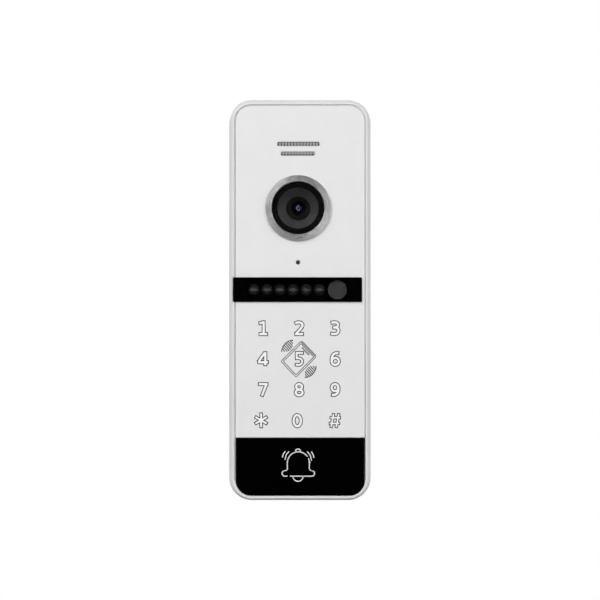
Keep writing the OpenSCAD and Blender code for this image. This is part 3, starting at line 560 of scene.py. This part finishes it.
def front_housing():
    # (share of the way to the opening inside the lip, depth from the housing's back or from its lip)
    back_edge = [(0.15, 0.0), (0.0, 0.3)]
    slope = [(0.0, -1.75), (0.015, -1.5), (0.05, -1.28), (0.11, -1.06), (0.58, -0.2), (0.64, -0.1),
             (0.69, -0.03), (0.73, 0.0), (0.98, 0.0), (0.99, -0.01), (1.0, -0.04)]
    rows = [(rim_outline(share), housing_back + rise) for share, rise in back_edge]
    rows += [(rim_outline(share), lip_front + drop) for share, drop in slope]
    rows += [(rim_outline(1.0), GROOVE_FLOOR), (well_outline(GAP), GROOVE_FLOOR),
             (well_outline(GAP), panel_back)]
    shell = loft(rows)

    # the tools reach a little past the faces that they cut, each by its own amount
    wall, camera_seat, throat_r = 2.0, 20.4, 10.0
    low_x, high_x, inner_r = body_low.x + wall, body_high.x - wall, CORNER_R - wall
    low_z, high_z = body_low.z + wall, body_high.z - wall
    # behind the button, up to step_z, the inside is less deep; the button's well ends at well_top
    step_z, well_top = panel_low.z + 1.2, panel_low.z + 0.4
    well = (panel_low.x, WELL_BOTTOM, PANEL_RIGHT, well_top, [PANEL_R, PANEL_R, SHARP_R, SHARP_R], -GAP)
    speaker_recess = centred(SPEAKER[0], 60.45, 20.8, 7.6, SHARP_R)
    plug_hole = rect(PLUG[0] - GAP, PLUG[1] - GAP, PLUG[2] + GAP, PLUG[3] + GAP, [SHARP_R] * 4)
    keypad_window = rect(-19.2, -53.0, 19.2, -4.6, [1.6] * 4)
    bar_notch = rect(bar_low.x - 0.2, bar_low.z - 0.15, 0, bar_high.z + 0.15, [0.3] * 4)
    button_window = centred(0, BUTTON_Z, 16, 12, 2)
    cuts = [
        prism(rect(low_x, low_z, high_x, high_z, [inner_r] * 4), housing_back - 0.5, floor_back),
        prism(rect(low_x, step_z, high_x, high_z, [SHARP_R, SHARP_R, inner_r, inner_r]),
              floor_back - 0.2, wall_back),
        prism(rect(*well), floor_front, lip_front - 0.5),
        disc(camera_x, camera_z, CAMERA_HOLE_R, camera_seat, lip_front + 0.5),
        disc(camera_x, camera_z, throat_r, wall_back - 0.5, lip_front),
        prism(speaker_recess, panel_back - 0.55, panel_back + 0.5),
        disc(*MIC, wall_back - 0.5, panel_back + 0.5),
        prism(plug_hole, wall_back - 0.4, panel_back + 0.4),
        prism(keypad_window, wall_back - 0.6, panel_back + 0.6),
        prism(bar_notch, panel_front - 0.1, lip_front + 0.6),
        prism(button_window, floor_back - 0.5, floor_front + 0.5),
    ]
    cuts += [prism(pill(x, z, w + 0.8, h + 0.8), wall_back - 0.3, panel_back)
             for x, z, w, h in (UPPER_SLOT, LOWER_SLOT)]
    cuts += [prism(centred(sx * LEG_X, BUTTON_Z + sz * LEG_Z, 4.6, 1.6, SHARP_R), floor_back - 0.5,
                   floor_front + 0.5) for sx, sz in QUARTERS]
    shell = carve(shell, "DIFFERENCE", cuts)

    # screw posts run a little into the wall they stand on: for the rear cover, the main board, and the
    # boards of camera, infrared lamps and button. The collar holds the speaker.
    into = 0.3
    seat = wall_back + into
    small = (1.9, 0.75)
    camera_post, button_post_x = 9.8, 10.6
    posts = [hollow_post(sx * 21.0, sz * 72.6, 2.8, 1.45, housing_back + 0.6, seat, 15)
             for sx, sz in QUARTERS]
    posts += [hollow_post(sx * 22.3, z, 2.4, 0.95, 12.6, seat, 16.8) for sx in SIDES for z in (-50, 16)]
    posts += [hollow_post(camera_x + s * camera_post, camera_z - s * camera_post, *small, 10.6, seat, 14.6)
              for s in SIDES]
    posts += [hollow_post(x, 4.16, *small, 18.2, seat, 19.2) for x in (-23.1, 21.3)]
    posts += [hollow_post(sx * button_post_x, BUTTON_Z, *small, 16.0, floor_back + into, 17.6)
              for sx in SIDES]
    collar_r, collar_bore, collar_back = 12.7, 11.6, 15.2
    collar = lathe([(collar_bore, collar_back), (collar_r, collar_back), (collar_r, seat),
                    (collar_bore, seat)], *SPEAKER)
    shell = carve(shell, "UNION", posts + [collar])
    piece("housing_shell", shell, "frame_plastic", ["front_housing"])


front_housing()


def button_groove():
    """Raised floor of the groove round the button: a U from one side of the panel's end to the other."""
    top_z, turn_z = panel_low.z - 0.6, BUTTON_Z + 30
    sides = []
    for outline in (rim_outline(1.0), well_outline(GAP)):
        low_part = [p for p in outline if p[1] < top_z]
        low_part.sort(key=lambda p: math.atan2(p[1] - turn_z, p[0]))
        sides.append(low_part)
    outline = sides[0] + sides[1][::-1]
    mesh = prism(outline, GROOVE_FLOOR - 0.1, BUTTON_GROOVE_FLOOR)
    piece("button_groove", mesh, "frame_plastic")


button_groove()


# ---------- front panel ----------

def front_panel():
    edge = [(0.15, panel_back), (0.0, panel_back + 0.15), *rounding(panel_front, 0.15)]
    plate = (panel_low.x, PANEL_BOTTOM, PANEL_RIGHT, panel_high.z, [0.3, 0.3, PANEL_R, PANEL_R])
    outer = [(rect(*plate, inset), depth) for inset, depth in edge]
    hole_edge = [(0.0, panel_back), (0.0, panel_front - 0.12), (0.04, panel_front - 0.04),
                 (0.12, panel_front)]

    def hole(outline):
        """Walls of a hole whose front edge is eased; outline(grow) gives its points."""
        return [(outline(grow), depth) for grow, depth in hole_edge]

    holes = [
        hole(lambda grow: circle(camera_x, camera_z, CAMERA_HOLE_R + grow, 128)),
        hole(lambda grow: pill(*UPPER_SLOT, -grow)),
        hole(lambda grow: pill(*LOWER_SLOT, -grow)),
        hole(lambda grow: circle(MIC[0], MIC[1], MIC[2] + grow, 48)),
        hole(lambda grow: rect(*PLUG, [0.15] * 4, -0.1 - grow, 4)),
    ]
    piece("face_panel", loft(outer, holes), "panel_white", ["front_panel"])


front_panel()


# ---------- speaker grille ----------

def speaker_mesh():
    back, seat, front = -grille_high.y, panel_back - 0.05, -grille_low.y
    pitch, slack, rim, hole_steps = 1.235, 0.02, 0.04, 20
    # slot, number of columns, sideways shift, rows of (height in the slot, hole radius)
    slots = ((UPPER_SLOT, 14, 0.0, ((0.5, 0.33), (-0.36, 0.33))),
             (LOWER_SLOT, 11, -0.3, ((0.58, 0.22), (-0.26, 0.36))))
    plate = (grille_low.x, grille_low.z, grille_high.x, grille_high.z, [0.3] * 4)
    bm = bmesh.new()
    behind, before = ring(bm, rect(*plate), back), ring(bm, rect(*plate), seat)
    bridge(bm, behind, before)
    feet, mouths, cloth_and_hole_shade = [], [], []
    for slot, columns, shift, rows in slots:
        foot, top_edge = ring(bm, pill(*slot, slack), seat), ring(bm, pill(*slot, slack), front)
        bridge(bm, foot, top_edge)
        feet.append(foot)
        openings = []
        for row_z, hole_r in rows:
            z = slot[1] + row_z
            # the end holes are drawn inwards to stay within the slot's round ends
            limit = slot[3] / 2 - rim - hole_r
            reach = (slot[2] - slot[3]) / 2 + math.sqrt(max(limit ** 2 - row_z ** 2, 0))
            for i in range(columns):
                x = slot[0] + min(max(shift + (i - (columns - 1) / 2) * pitch, -reach), reach)
                hole = circle(x, z, hole_r, hole_steps)
                far, near = ring(bm, hole, back), ring(bm, hole, front)
                bridge(bm, far, near)
                mouths.append(far)
                openings.append(near)
                # black plugs in each hole, from just behind the grille to just short of its front: painted
                # shade of the holes
                cloth_and_hole_shade.append(prism(circle(x, z, hole_r - 0.01, hole_steps), back - 0.04, front - 0.12))
        fill(bm, [top_edge, *openings])
    fill(bm, [before, *feet])
    fill(bm, [behind, *mouths])
    piece("speaker_mesh", to_mesh(bm), "speaker_grey", ["speaker_grille"])
    # the black plate behind the grille is its cloth; with the plugs it makes one piece of cloth and
    # painted hole shade
    cloth_and_hole_shade.append(prism(rect(*plate, 0.2), back - 0.08, back))
    piece("speaker_cloth_and_hole_shade", merged(cloth_and_hole_shade), "board_black")


speaker_mesh()


# ---------- infrared lamps ----------

LAMPS = [node for node in frame["nodes"] if node.startswith("ir_led_")]


def lamp_glint_leaves():
    """Painted glints: bright leaves on the lamps' domes, where the lenses show the lead frames. They stand
    in for the lead frames and the highlight on them.
    """
    half_w, half_h, tip_h, steps, dome_r, lift, thick = 1.9, 0.55, 0.03, 16, 2.4, 0.01, 0.03
    bm = bmesh.new()
    for node in LAMPS:
        low, high = box_mm(node)
        x, z, tip = (low.x + high.x) / 2, (low.z + high.z) / 2, -low.y
        rows = []
        for i in range(steps + 1):
            u = -half_w + 2 * half_w * i / steps
            h = half_h * (1 - (u / half_w) ** 2) + tip_h
            section = ((h, lift), (h, lift + thick), (0.0, lift + thick), (-h, lift + thick), (-h, lift),
                       (0.0, lift))
            row = []
            for v, rise in section:
                depth = tip - dome_r + math.sqrt(dome_r ** 2 - u * u - v * v) + rise
                row.append(bm.verts.new(at((x + u, z + v), depth)))
            rows.append(row)
        for a, b in zip(rows, rows[1:]):
            bridge(bm, a, b)
        for row in (rows[0], rows[-1]):
            bm.faces.new((row[0], row[1], row[2], row[5]))
            bm.faces.new((row[5], row[2], row[3], row[4]))
    # the leaves are painted glints on the domes, partly the lead frames that the lenses show
    piece("lamp_glint_leaves", to_mesh(bm), "lamp_glint_paint")


lamp_glint_leaves()


def lamp_mask():
    """Black foam over the lamps' collars, so that only their domes show."""
    board_front = -box_mm("ir_board")[0].y
    back, front = board_front + 0.65, board_front + 1.3
    lamp_r, sensor_r = 2.42, 3.84
    holes = []
    for node, r in [*((lamp, lamp_r) for lamp in LAMPS), ("light_sensor", sensor_r)]:
        place = sum(box_mm(node), Vector()) / 2
        holes.append(circle(place.x, place.z, r))
    edge = rect(PLUG[0] + 0.1, PLUG[1] - 0.5, PLUG[2] - 0.1, PLUG[3] + 0.2, [0.5] * 4)
    piece("lamp_mask", prism(edge, back, front, holes), "board_black")


lamp_mask()


# ---------- dark bar ----------

def dark_bar():
    # depth of the print's gap behind the window, and what the print leaves of it
    ink, clear = 0.03, 0.005
    bar_front, plug_back = -bar_low.y, -bar_high.y
    plug = (*PLUG, [0.15] * 4)
    lap = (bar_low.x + BAR_LEFT, bar_low.z, bar_high.x + BAR_RIGHT, bar_high.z, [0.4] * 4)
    plug_edge = [(0.1, plug_back), (0.0, plug_back + 0.1), (0.0, panel_front + ink)]
    lap_edge = [(0.0, panel_front + ink), *rounding(bar_front, 0.1)]
    rows = [(rect(*plug, inset), depth) for inset, depth in plug_edge]
    rows += [(rect(*lap, inset), depth) for inset, depth in lap_edge]
    piece("dark_window", loft(rows), "tinted_window", ["ir_window"])

    # opaque black print behind the part of the window that lies on the panel
    print_mesh = prism(rect(*lap, 0.02), panel_front, panel_front + ink - clear, [rect(*plug, -0.05)])
    sleeve = prism(rect(*plug, -0.08), plug_back, panel_front - 0.01, [rect(*plug, -0.02)])
    piece("dark_window_sleeve", sleeve, "board_black")
    piece("dark_window_print", print_mesh, "board_black")


dark_bar()


# ---------- camera ----------

def on_axis(name, profile, look, replaces=(), steps=128):
    """A piece turned about the camera's axis."""
    piece(name, lathe(profile, camera_x, camera_z, steps), look, replaces)


hood_r = (hood_high.x - hood_low.x) / 2
glass_r = (glass_high.x - glass_low.x) / 2


def camera_ring():
    outer_r = (bezel_high.x - bezel_low.x) / 2 - RING_TRIM
    bore_r = glass_r + 0.2
    stem_r = outer_r - 0.95
    foot_r = hood_r + 0.1
    foot, front = -bezel_high.y, -bezel_low.y - RING_DROP
    seat = -glass_high.y - 0.5
    profile = [(foot_r, foot), (stem_r, foot), (stem_r, panel_front), (outer_r, panel_front)]
    profile += [(outer_r - inset, depth) for inset, depth in rounding(front, 0.1)]
    profile += [(bore_r + inset, depth) for inset, depth in reversed(rounding(front, 0.12))]
    profile += [(bore_r, seat), (foot_r, seat)]
    on_axis("camera_ring", profile, "ring_aluminium", ["camera_bezel"], 192)


def camera_glass():
    back, front = -glass_high.y, -glass_low.y
    profile = [(0, back), (glass_r - 0.1, back), (glass_r, back + 0.1)]
    profile += [(glass_r - inset, depth) for inset, depth in rounding(front, 0.15, 3)] + [(0, front)]
    on_axis("camera_glass", profile, "clear_window", ["camera_window"])


def light_baffle():
    mouth_r, throat_r, steps = 8.25, 4.78, 8
    back, seat = -hood_high.y, -hood_low.y
    throat = seat - 3.5
    tread, rise = (mouth_r - throat_r) / steps, (seat - throat) / steps
    profile = [(throat_r, back)]
    for i in range(steps):
        r, d = throat_r + i * tread, throat + i * rise
        profile += [(r, d), (r + tread * 0.75, d + rise * 0.12), (r + tread * 0.95, d + rise * 0.3)]
    profile += [(mouth_r, seat - 0.1), (mouth_r + 0.1, seat), (hood_r, seat), (hood_r, seat - 1.7),
                (throat_r + 1.4, back)]
    on_axis("light_baffle", profile, "hood_plastic", ["lens_hood"])


def lens():
    r = (lens_high.x - lens_low.x) / 2
    back, front = -barrel_high.y, -barrel_low.y
    barrel_r, thread_r, bore_r, shoulder = 4.7, 4.0, 2.65, 14.0
    funnel_r, funnel_floor, bore_floor = 3.3, front - 1.95, front - 2.2
    profile = [(bore_r - 0.6, back), (thread_r, back), (thread_r, shoulder), (barrel_r, shoulder),
               (barrel_r, front - 0.06), (barrel_r - 0.06, front), (barrel_r - 0.14, front),
               (barrel_r - 0.22, front - 0.06), (funnel_r, funnel_floor), (bore_r, funnel_floor),
               (bore_r, bore_floor), (bore_r - 0.6, bore_floor)]
    on_axis("barrel", profile, "barrel_grey", ["lens_barrel"])

    # the lens sits a little off the barrel's axis
    aside = 0.15
    x, z = camera_x + aside, camera_z + aside
    tip, back = -lens_low.y, -lens_high.y
    profile = [(r + 0.02, funnel_floor), (funnel_r - 0.2, funnel_floor),
               (funnel_r - 0.2, funnel_floor + 0.25), (funnel_r - 0.3, funnel_floor + 0.35),
               (funnel_r - 0.4, funnel_floor + 0.35), (r + 0.25, funnel_floor + 0.2),
               (r + 0.02, funnel_floor + 0.15)]
    piece("lens_retainer", lathe(profile, x, z, 128), "barrel_black")

    def bowl(bowl_r, edge_r, middle):
        """Points of a spherical surface that bulges forward, from its edge to its middle."""
        reach = math.asin(edge_r / bowl_r)
        angles = [reach * (1 - i / 16) for i in range(17)]
        return [(bowl_r * math.sin(a), middle - bowl_r * (1 - math.cos(a))) for a in angles]

    middle, edge, ledge, floor = tip - 0.25, tip - 0.95, tip - 1.0, tip - 1.3
    rim = [(r - 0.35, edge), (r, edge), (r, tip - 0.85), (r - 0.1, tip - 0.75)]
    behind, before = bowl(1.8, 1.3, middle)[:-1], bowl(1.95, 1.4, tip)
    profile = [(0, middle), *reversed(behind), *rim, *before]
    piece("front_lens", lathe(profile, x, z, 96), "lens_glass", ["lens_front_element"],
          sharp=60)
    profile = [(0, back), (r - 0.02, back), (r - 0.02, ledge), (r - 0.35, ledge), (1.2, floor), (0, floor)]
    piece("inner_lens", lathe(profile, x, z, 96), "coated_glass")
    bead_r, tube_r, sunk = 0.8, 0.4, floor - 0.05
    turns = [math.radians(a) for a in range(0, 181, 12)]
    dome = [(bead_r + tube_r * math.cos(a), floor + tube_r * math.sin(a)) for a in turns]
    profile = [(bead_r + tube_r, sunk), *dome, (bead_r - tube_r, sunk)]
    piece("lens_bead", lathe(profile, x, z, 64), "coated_bead", sharp=60)


camera_ring()
camera_glass()
light_baffle()
lens()


# ---------- call button ----------

def call_button():
    edge = [(0.15, button_back), (0.0, button_back + 0.15), *rounding(button_front, 0.15)]
    sides = (button_low.x + BUTTON_LEFT, WELL_BOTTOM, button_high.x + BUTTON_RIGHT, WELL_BOTTOM + 23,
             [PANEL_R, PANEL_R, 0.3, 0.3])
    plate = loft([(rect(*sides, inset), depth) for inset, depth in edge])
    # the light guide lies in a recess round the foot of the stem that presses the switch
    recess = prism(centred(0, BUTTON_Z, 15, 18, 1.5), button_back - 0.4, button_back + 0.9,
                   [circle(0, BUTTON_Z, 2.2)])
    plate = carve(plate, "DIFFERENCE", [recess])
    root, leg_back, hook_front = button_back + 0.3, floor_back - 1.4, floor_back - 0.1
    legs = [disc(0, BUTTON_Z, 1.55, floor_back + 0.2, root)]
    for sx, sz in QUARTERS:
        x, z = sx * LEG_X, BUTTON_Z + sz * LEG_Z
        legs.append(prism(centred(x, z, 4, 1.2, 0.15, steps=4), leg_back, root))
        legs.append(prism(centred(x, z + sz, 4, 0.8, 0.15, steps=4), leg_back, hook_front))
    plate = carve(plate, "UNION", legs)
    piece("button_cap", plate, "gloss_black", ["call_button"], body="call_button")


call_button()


# ---------- printed lines ----------

def curve_points(points, steps=8):
    """Smooth line through a few points (Catmull-Rom)."""
    ends = [points[0], *points, points[-1]]
    line = []
    for a, b, c, d in zip(ends, ends[1:], ends[2:], ends[3:]):
        for i in range(steps):
            t = i / steps
            line.append(tuple(
                0.5 * (2 * b[k] + (c[k] - a[k]) * t + (2 * a[k] - 5 * b[k] + 4 * c[k] - d[k]) * t * t
                       + (3 * b[k] - a[k] - 3 * c[k] + d[k]) * t ** 3) for k in (0, 1)))
    return line + [points[-1]]


def arc(x, z, rx, start, end, rz=None, steps=24):
    """Points along an arc, from one angle in degrees to another."""
    rz = rx if rz is None else rz
    angles = [math.radians(start + (end - start) * i / steps) for i in range(steps + 1)]
    return [(x + rx * math.cos(a), z + rz * math.sin(a)) for a in angles]


def trimmed(points, amount):
    """Takes a length off the start of a line."""
    while len(points) > 2 and (points[1] - points[0]).length <= amount:
        amount -= (points[1] - points[0]).length
        points = points[1:]
    return [points[0] + (points[1] - points[0]).normalized() * amount, *points[1:]]


def bar(points, width, back, front, longer=0.0, closed=False):
    """Flat strip along a line, as a closed solid. Its ends can reach past the line or stop short."""
    sharpest = 0.35
    points = [Vector(p) for p in points]
    if closed and (points[0] - points[-1]).length < TINY:
        points.pop()
    if not closed:
        points = trimmed(points, -longer)
        points = trimmed(points[::-1], -longer)[::-1]
    n = len(points)
    left, right = [], []
    for i, p in enumerate(points):
        before = points[i - 1] if closed or i else None
        after = points[(i + 1) % n] if closed or i < n - 1 else None
        a = (p - before).normalized() if before is not None else (after - p).normalized()
        b = (after - p).normalized() if after is not None else a
        mid = (a + b).normalized()
        normal = Vector((-mid.y, mid.x))
        reach = width / 2 / max(normal.dot(Vector((-a.y, a.x))), sharpest)
        left.append(p + normal * reach)
        right.append(p - normal * reach)
    bm = bmesh.new()
    low_l, low_r = ring(bm, left, back), ring(bm, right, back)
    top_l, top_r = ring(bm, left, front), ring(bm, right, front)
    for i in range(n if closed else n - 1):
        j = (i + 1) % n
        bm.faces.new((top_l[i], top_l[j], top_r[j], top_r[i]))
        bm.faces.new((low_l[i], low_r[i], low_r[j], low_l[j]))
        bm.faces.new((low_l[i], low_l[j], top_l[j], top_l[i]))
        bm.faces.new((low_r[i], top_r[i], top_r[j], low_r[j]))
    if not closed:
        for i in (0, -1):
            bm.faces.new((low_l[i], top_l[i], top_r[i], low_r[i]))
    return to_mesh(bm)


# figures as strokes about their own middle: two points make a straight one, more a curve, and an arc
# that ends where it starts a loop. TOP is the height of most upper strokes.
TOP = 2.35
GLYPHS = {
    "1": [[(-1.7, -TOP), (1.75, -TOP)], [(0.15, -TOP), (0.15, TOP + 0.6)],
          [(-1.7, 1.9), (-0.9, 2.08), (0.15, 2.42)]],
    "2": [[(-1.75, 1.85), (-1.0, 2.22), (-0.1, 2.35), (0.95, 2.0), (1.28, 1.2), (1.0, 0.35), (0.1, -0.75),
           (-1.25, -2.1)],
          [(-1.85, -TOP), (1.7, -TOP)]],
    "3": [[(-1.7, 2.1), (-0.5, 2.35), (0.7, 2.15), (1.15, 1.4), (0.75, 0.6), (-0.2, 0.3), (-1.0, 0.28)],
          [(-1.0, 0.28), (0.3, 0.2), (1.15, -0.3), (1.3, -1.1), (0.75, -2.05), (-0.4, -2.35),
           (-1.85, -2.1)]],
    "4": [[(0.83, -TOP - 0.35), (0.83, TOP + 0.6)], [(-2.25, -1.31), (2.05, -1.31)],
          [(-1.9, -1.1), (0.7, 2.55)]],
    "5": [[(-1.5, 2.42), (1.7, 2.42)], [(-1.02, 2.95), (-1.02, -0.2)],
          [(-1.4, 0.2), (-0.1, 0.27), (0.7, -0.05), (1.13, -0.85), (0.85, -1.87), (-0.1, -2.4),
           (-1.65, -2.22)]],
    "6": [arc(0.05, -0.95, 1.42, 0, 360, 1.4),
          [(-1.37, -1.0), (-1.35, 0.4), (-0.75, 1.7), (0.3, 2.3), (1.5, 2.3)]],
    "7": [[(-1.95, TOP), (1.9, TOP)], [(1.3, TOP), (-0.6, -TOP - 0.15)]],
    "8": [arc(-0.05, 1.28, 1.15, 0, 360, 1.07), arc(-0.05, -1.0, 1.36, 0, 360, 1.12)],
    "9": [arc(-0.05, 0.95, 1.34, 0, 360, 1.4),
          [(1.29, 1.0), (1.27, -0.3), (0.75, -1.4), (-0.25, -1.95), (-1.55, -1.9)]],
    "0": [arc(-0.05, -0.15, 1.45, 0, 360, 2.25)],
    "star": [[(0, -3.0), (0, 2.95)], [(-2.42, -1.4), (2.42, 1.4)], [(-2.42, 1.4), (2.42, -1.4)]],
    "hash": [[(-1.55, -2.95), (-0.5, 2.7)], [(0.5, -2.95), (1.55, 2.7)], [(-1.95, 1.0), (2.25, 1.0)],
             [(-2.3, -1.25), (1.95, -1.25)]],
}
STROKE_W = 1.25
STROKES = {"5": 1.1, "star": 1.1, "hash": 0.98}
KEYS = [["1", "2", "3"], ["4", "5", "6"], ["7", "8", "9"], ["star", "0", "hash"]]
KEY_X = (-14.65, -0.25, 14.1)
KEY_Z = (-11.2, -23.5, -35.9, -48.0)
SHIFT_X = {"star": -0.85, "0": -0.75, "hash": -0.1}
LINE_W = 0.36
INK_T = 0.02
FILL_T = INK_T / 4


def glyph(name, x, z):
    """Outline of a bold figure (wide strokes less narrow ones), and the window inside it."""
    stroke = STROKES.get(name, STROKE_W)
    layers = []
    for width, longer, back, front in ((stroke + LINE_W, LINE_W / 2, 0.0, 1.0),
                                       (stroke - LINE_W, -LINE_W / 2, -1.0, 2.0)):
        bars = []
        for points in GLYPHS[name]:
            closed = math.dist(points[0], points[-1]) < TINY
            line = points if closed or len(points) == 2 else curve_points(points)
            bars.append(bar(line, width, back, front, longer, closed))
        layers.append(carve(bars[0], "UNION", bars[1:], True))
    wide, narrow = layers
    window = narrow.copy()
    outline = carve(wide, "DIFFERENCE", [narrow])
    for mesh, thickness in ((outline, INK_T), (window, FILL_T)):
        mesh.transform(Matrix.Translation((x, -panel_front, z)) @ Matrix.Diagonal((1, thickness, 1, 1)))
    return outline, window


def key_legends():
    windows = []
    for row, z in zip(KEYS, KEY_Z):
        for name, x in zip(row, KEY_X):
            outline, window = glyph(name, x + SHIFT_X.get(name, 0.0), z)
            piece("legend_" + name, outline, "legend_ink")
            windows.append(window)
    piece("legend_windows", merged(windows), "legend_fill")


key_legends()


def printed(name, lines, width):
    """Ink lines on the panel: each is (points, closed)."""
    bars = [bar(points, width, panel_front, panel_front + INK_T, width / 2, closed)
            for points, closed in lines]
    piece(name, merged(bars), "legend_ink")


def card_symbol():
    """A card stood on its corner, with a stripe and a band along one end and a fan off each long side."""
    x0, z0 = -0.54, -23.6
    along, across = Vector((0.702, 0.712)), Vector((0.69, -0.724))
    half_length, half_width, inset = 5.67, 4.35, 0.64
    card_line, stripe_line, wave_line, band_w = 0.3, 0.26, 0.38, 0.96

    def place(u, v):
        p = along * u + across * v
        return (x0 + p.x, z0 + p.y)

    def card(inset, r):
        half_u, half_v = half_length - inset, half_width - inset
        return [place(u, v) for u, v in rect(-half_u, -half_v, half_u, half_v, [r] * 4, steps=6)]

    lines = [(card(0.0, 0.45), True), (card(inset, 0.15), True)]
    stripe = [place(u, v) for u, v in rect(4.02, -2.1, 4.42, 1.65, [SHARP_R] * 4, steps=2)]
    # each fan is a square's corner with its inner corner cut off and its outer side round
    count, pitch, lean, deepest = 9, 0.75, 0.08, 1.8
    chord_v, half, radius = -7.0, 3.15, 4.7
    mid_v = chord_v + math.sqrt(radius ** 2 - half ** 2)
    reach = math.degrees(math.asin(half / radius))
    waves = []
    for turn in (1, -1):
        mid_u = 0.2 + 0.2 * turn
        edge = arc(mid_u, mid_v, radius, 270 - reach, 270 + reach)
        lines.append(([place(turn * u, turn * v) for u, v in edge], False))
        for i in range(count):
            aside = (i - (count - 1) / 2) * pitch
            middle = mid_u + aside
            far = mid_v - math.sqrt(radius ** 2 - aside ** 2)
            near = chord_v + min(deepest, half - 0.1 - abs(aside))
            wave = ((middle, near), (middle + lean, (near + far) / 2), (middle, far))
            waves.append(([place(turn * u, turn * v) for u, v in wave], False))
    printed("card_symbol", lines, card_line)
    printed("card_stripe", [(stripe, True)], stripe_line)
    printed("card_waves", waves, wave_line)
    white = panel_front + FILL_T
    gap = prism(card(card_line / 2, 0.4), panel_front, white, [card(inset - card_line / 2, 0.2)])
    piece("card_windows", merged([gap, prism(stripe, panel_front, white)]), "legend_fill")
    band_u, band_ends, band_t = 5.76, (-4.1, 3.95), INK_T * 1.5
    band = bar([place(band_u, v) for v in band_ends], band_w, panel_front, panel_front + band_t)
    piece("card_band", band, "band_grey")


card_symbol()


def bell_symbol():
    line_w = 0.42
    x, z, r = -0.61, -64.97, 4.4
    lobe_z, lobe_r = -69.22, 1.08
    left_x, right_x = -6.05, 4.75
    base_z = lobe_z - lobe_r
    # below the dome the sides run straight down, then flare out to the lobes
    side_z, flare_z, flare_out, flare_r = z - 1.6, -67.1, 1.05, 1.06
    left = [*arc(x, z, r, 90, 180), (x - r, side_z), (x - r + 0.02, flare_z),
            *arc(x - r - flare_out, flare_z, flare_r, 0, -90, steps=8),
            *arc(left_x, lobe_z, lobe_r, 90, 270), (-5.05, base_z)]
    right = [(-3.95, base_z), *arc(right_x, lobe_z, lobe_r, -90, 90),
             *arc(x + r + flare_out, flare_z, flare_r, 270, 180, steps=8), (x + r, side_z), (x + r, z),
             *arc(x, z, r, 0, 24, steps=6)]
    dome, knob, clapper = (arc(x, z, r, 34, 90), arc(-0.78, -60.45, 1.0, 8, 172),
                           arc(-0.76, -70.3, 2.05, 180, 360))
    shakes = ([(-5.8, -60.45), (-6.65, -61.5), (-6.95, -62.75)],
              [(-4.4, -60.45), (-5.45, -61.8), (-5.95, -63.75)],
              [(2.95, -60.5), (4.1, -61.95), (4.6, -64.05)],
              [(4.55, -60.55), (5.35, -61.8), (5.55, -62.95)])
    lines = [left, right, dome, knob, clapper, *(curve_points(shake) for shake in shakes)]
    bars = [bar(line, line_w, button_front, button_front + INK_T, 0.05) for line in lines]
    piece("bell_symbol", merged(bars), "icon_ink", body="call_button")


bell_symbol()


# ---------- floor, light and camera ----------

def floor():
    """Wide plate under the object, which glows to the camera alone."""
    half, thickness, below, glow = 1300, 10, 0.3, 0.62
    mesh = prism(rect(-half, -half, half, half, [20] * 4, steps=4), 0, thickness)
    mesh.transform(Matrix.Scale(MM, 4))
    mesh.transform(Matrix.Rotation(math.radians(-90), 4, "X"))
    tree = looks["floor"].node_tree
    seen = add(tree, "LightPath").outputs["Is Camera Ray"]
    shine = calculate(tree, "Math", "MULTIPLY", seen, glow)
    wire(tree, tree.nodes["Principled BSDF"], {"Emission Color": (1, 1, 1, 1), "Emission Strength": shine})
    mesh.materials.append(looks["floor"])
    obj = bpy.data.objects.new("floor", mesh)
    obj.location = (0, 0, -below)
    bpy.context.scene.collection.objects.link(obj)


# place in metres, width and height in metres, power in watts; all face the object's middle
LIGHTS = {
    "key": ((-0.62, -1.0, 0.62), (0.85, 0.85), 12.3),
    "fill": ((0.70, -1.0, 0.30), (0.55, 0.55), 4.9),
    "top": ((0.1, -0.5, 1.1), (0.8, 0.4), 0.88),
    "left": ((-1.1, -0.3, 0.1), (0.4, 0.9), 0.88),
    "right": ((1.1, -0.3, 0.1), (0.4, 0.9), 2.3),
    "back_left": ((-0.7, 1.0, 0.5), (0.6, 0.6), 7),
    "back_right": ((0.8, 0.9, 0.4), (0.6, 0.6), 7),
}


def lights():
    for name, (place, size, power) in LIGHTS.items():
        data = bpy.data.lights.new(name, "AREA")
        data.shape = "RECTANGLE"
        data.size, data.size_y = size
        data.energy = power
        obj = bpy.data.objects.new(name, data)
        obj.location = place
        obj.rotation_euler = (-Vector(place)).to_track_quat("-Z", "Y").to_euler()
        bpy.context.scene.collection.objects.link(obj)


def world():
    """White to the camera; dim everywhere else, and dark straight ahead of the face and below."""
    sky = bpy.data.worlds.new("studio")
    bpy.context.scene.world = sky
    sky.use_nodes = True
    tree = sky.node_tree
    tree.nodes.clear()
    part = add(tree, "SeparateXYZ", {"Vector": add(tree, "TexCoord").outputs["Generated"]})
    ahead = remap(tree, part.outputs["Y"], -0.97, -0.8, 0.0, 1.0)
    height = remap(tree, part.outputs["Z"], -0.4, 0.2, 0.1, 1.0)
    both = calculate(tree, "Math", "MULTIPLY", ahead, height)
    lit = add(tree, "Background", {"Color": both, "Strength": 0.13})
    white = add(tree, "Background", {"Color": (1, 1, 1, 1), "Strength": 1.0})
    mix = add(tree, "MixShader", {"Fac": add(tree, "LightPath").outputs["Is Camera Ray"],
                                  1: lit.outputs["Background"], 2: white.outputs["Background"]})
    add(tree, "OutputWorld", {"Surface": mix.outputs["Shader"]})


def camera():
    distance, shift_x, shift_z = 0.999, 0.00004, 0.00006
    data = bpy.data.cameras.new("camera")
    data.lens = 150
    data.sensor_width = 36
    obj = bpy.data.objects.new("camera", data)
    obj.location = (shift_x, -panel_front * MM - distance, shift_z)
    obj.rotation_euler = (math.radians(90), 0, 0)
    bpy.context.scene.collection.objects.link(obj)
    bpy.context.scene.camera = obj


floor()
lights()
world()
camera()
bpy.context.scene.view_settings.view_transform = "Standard"
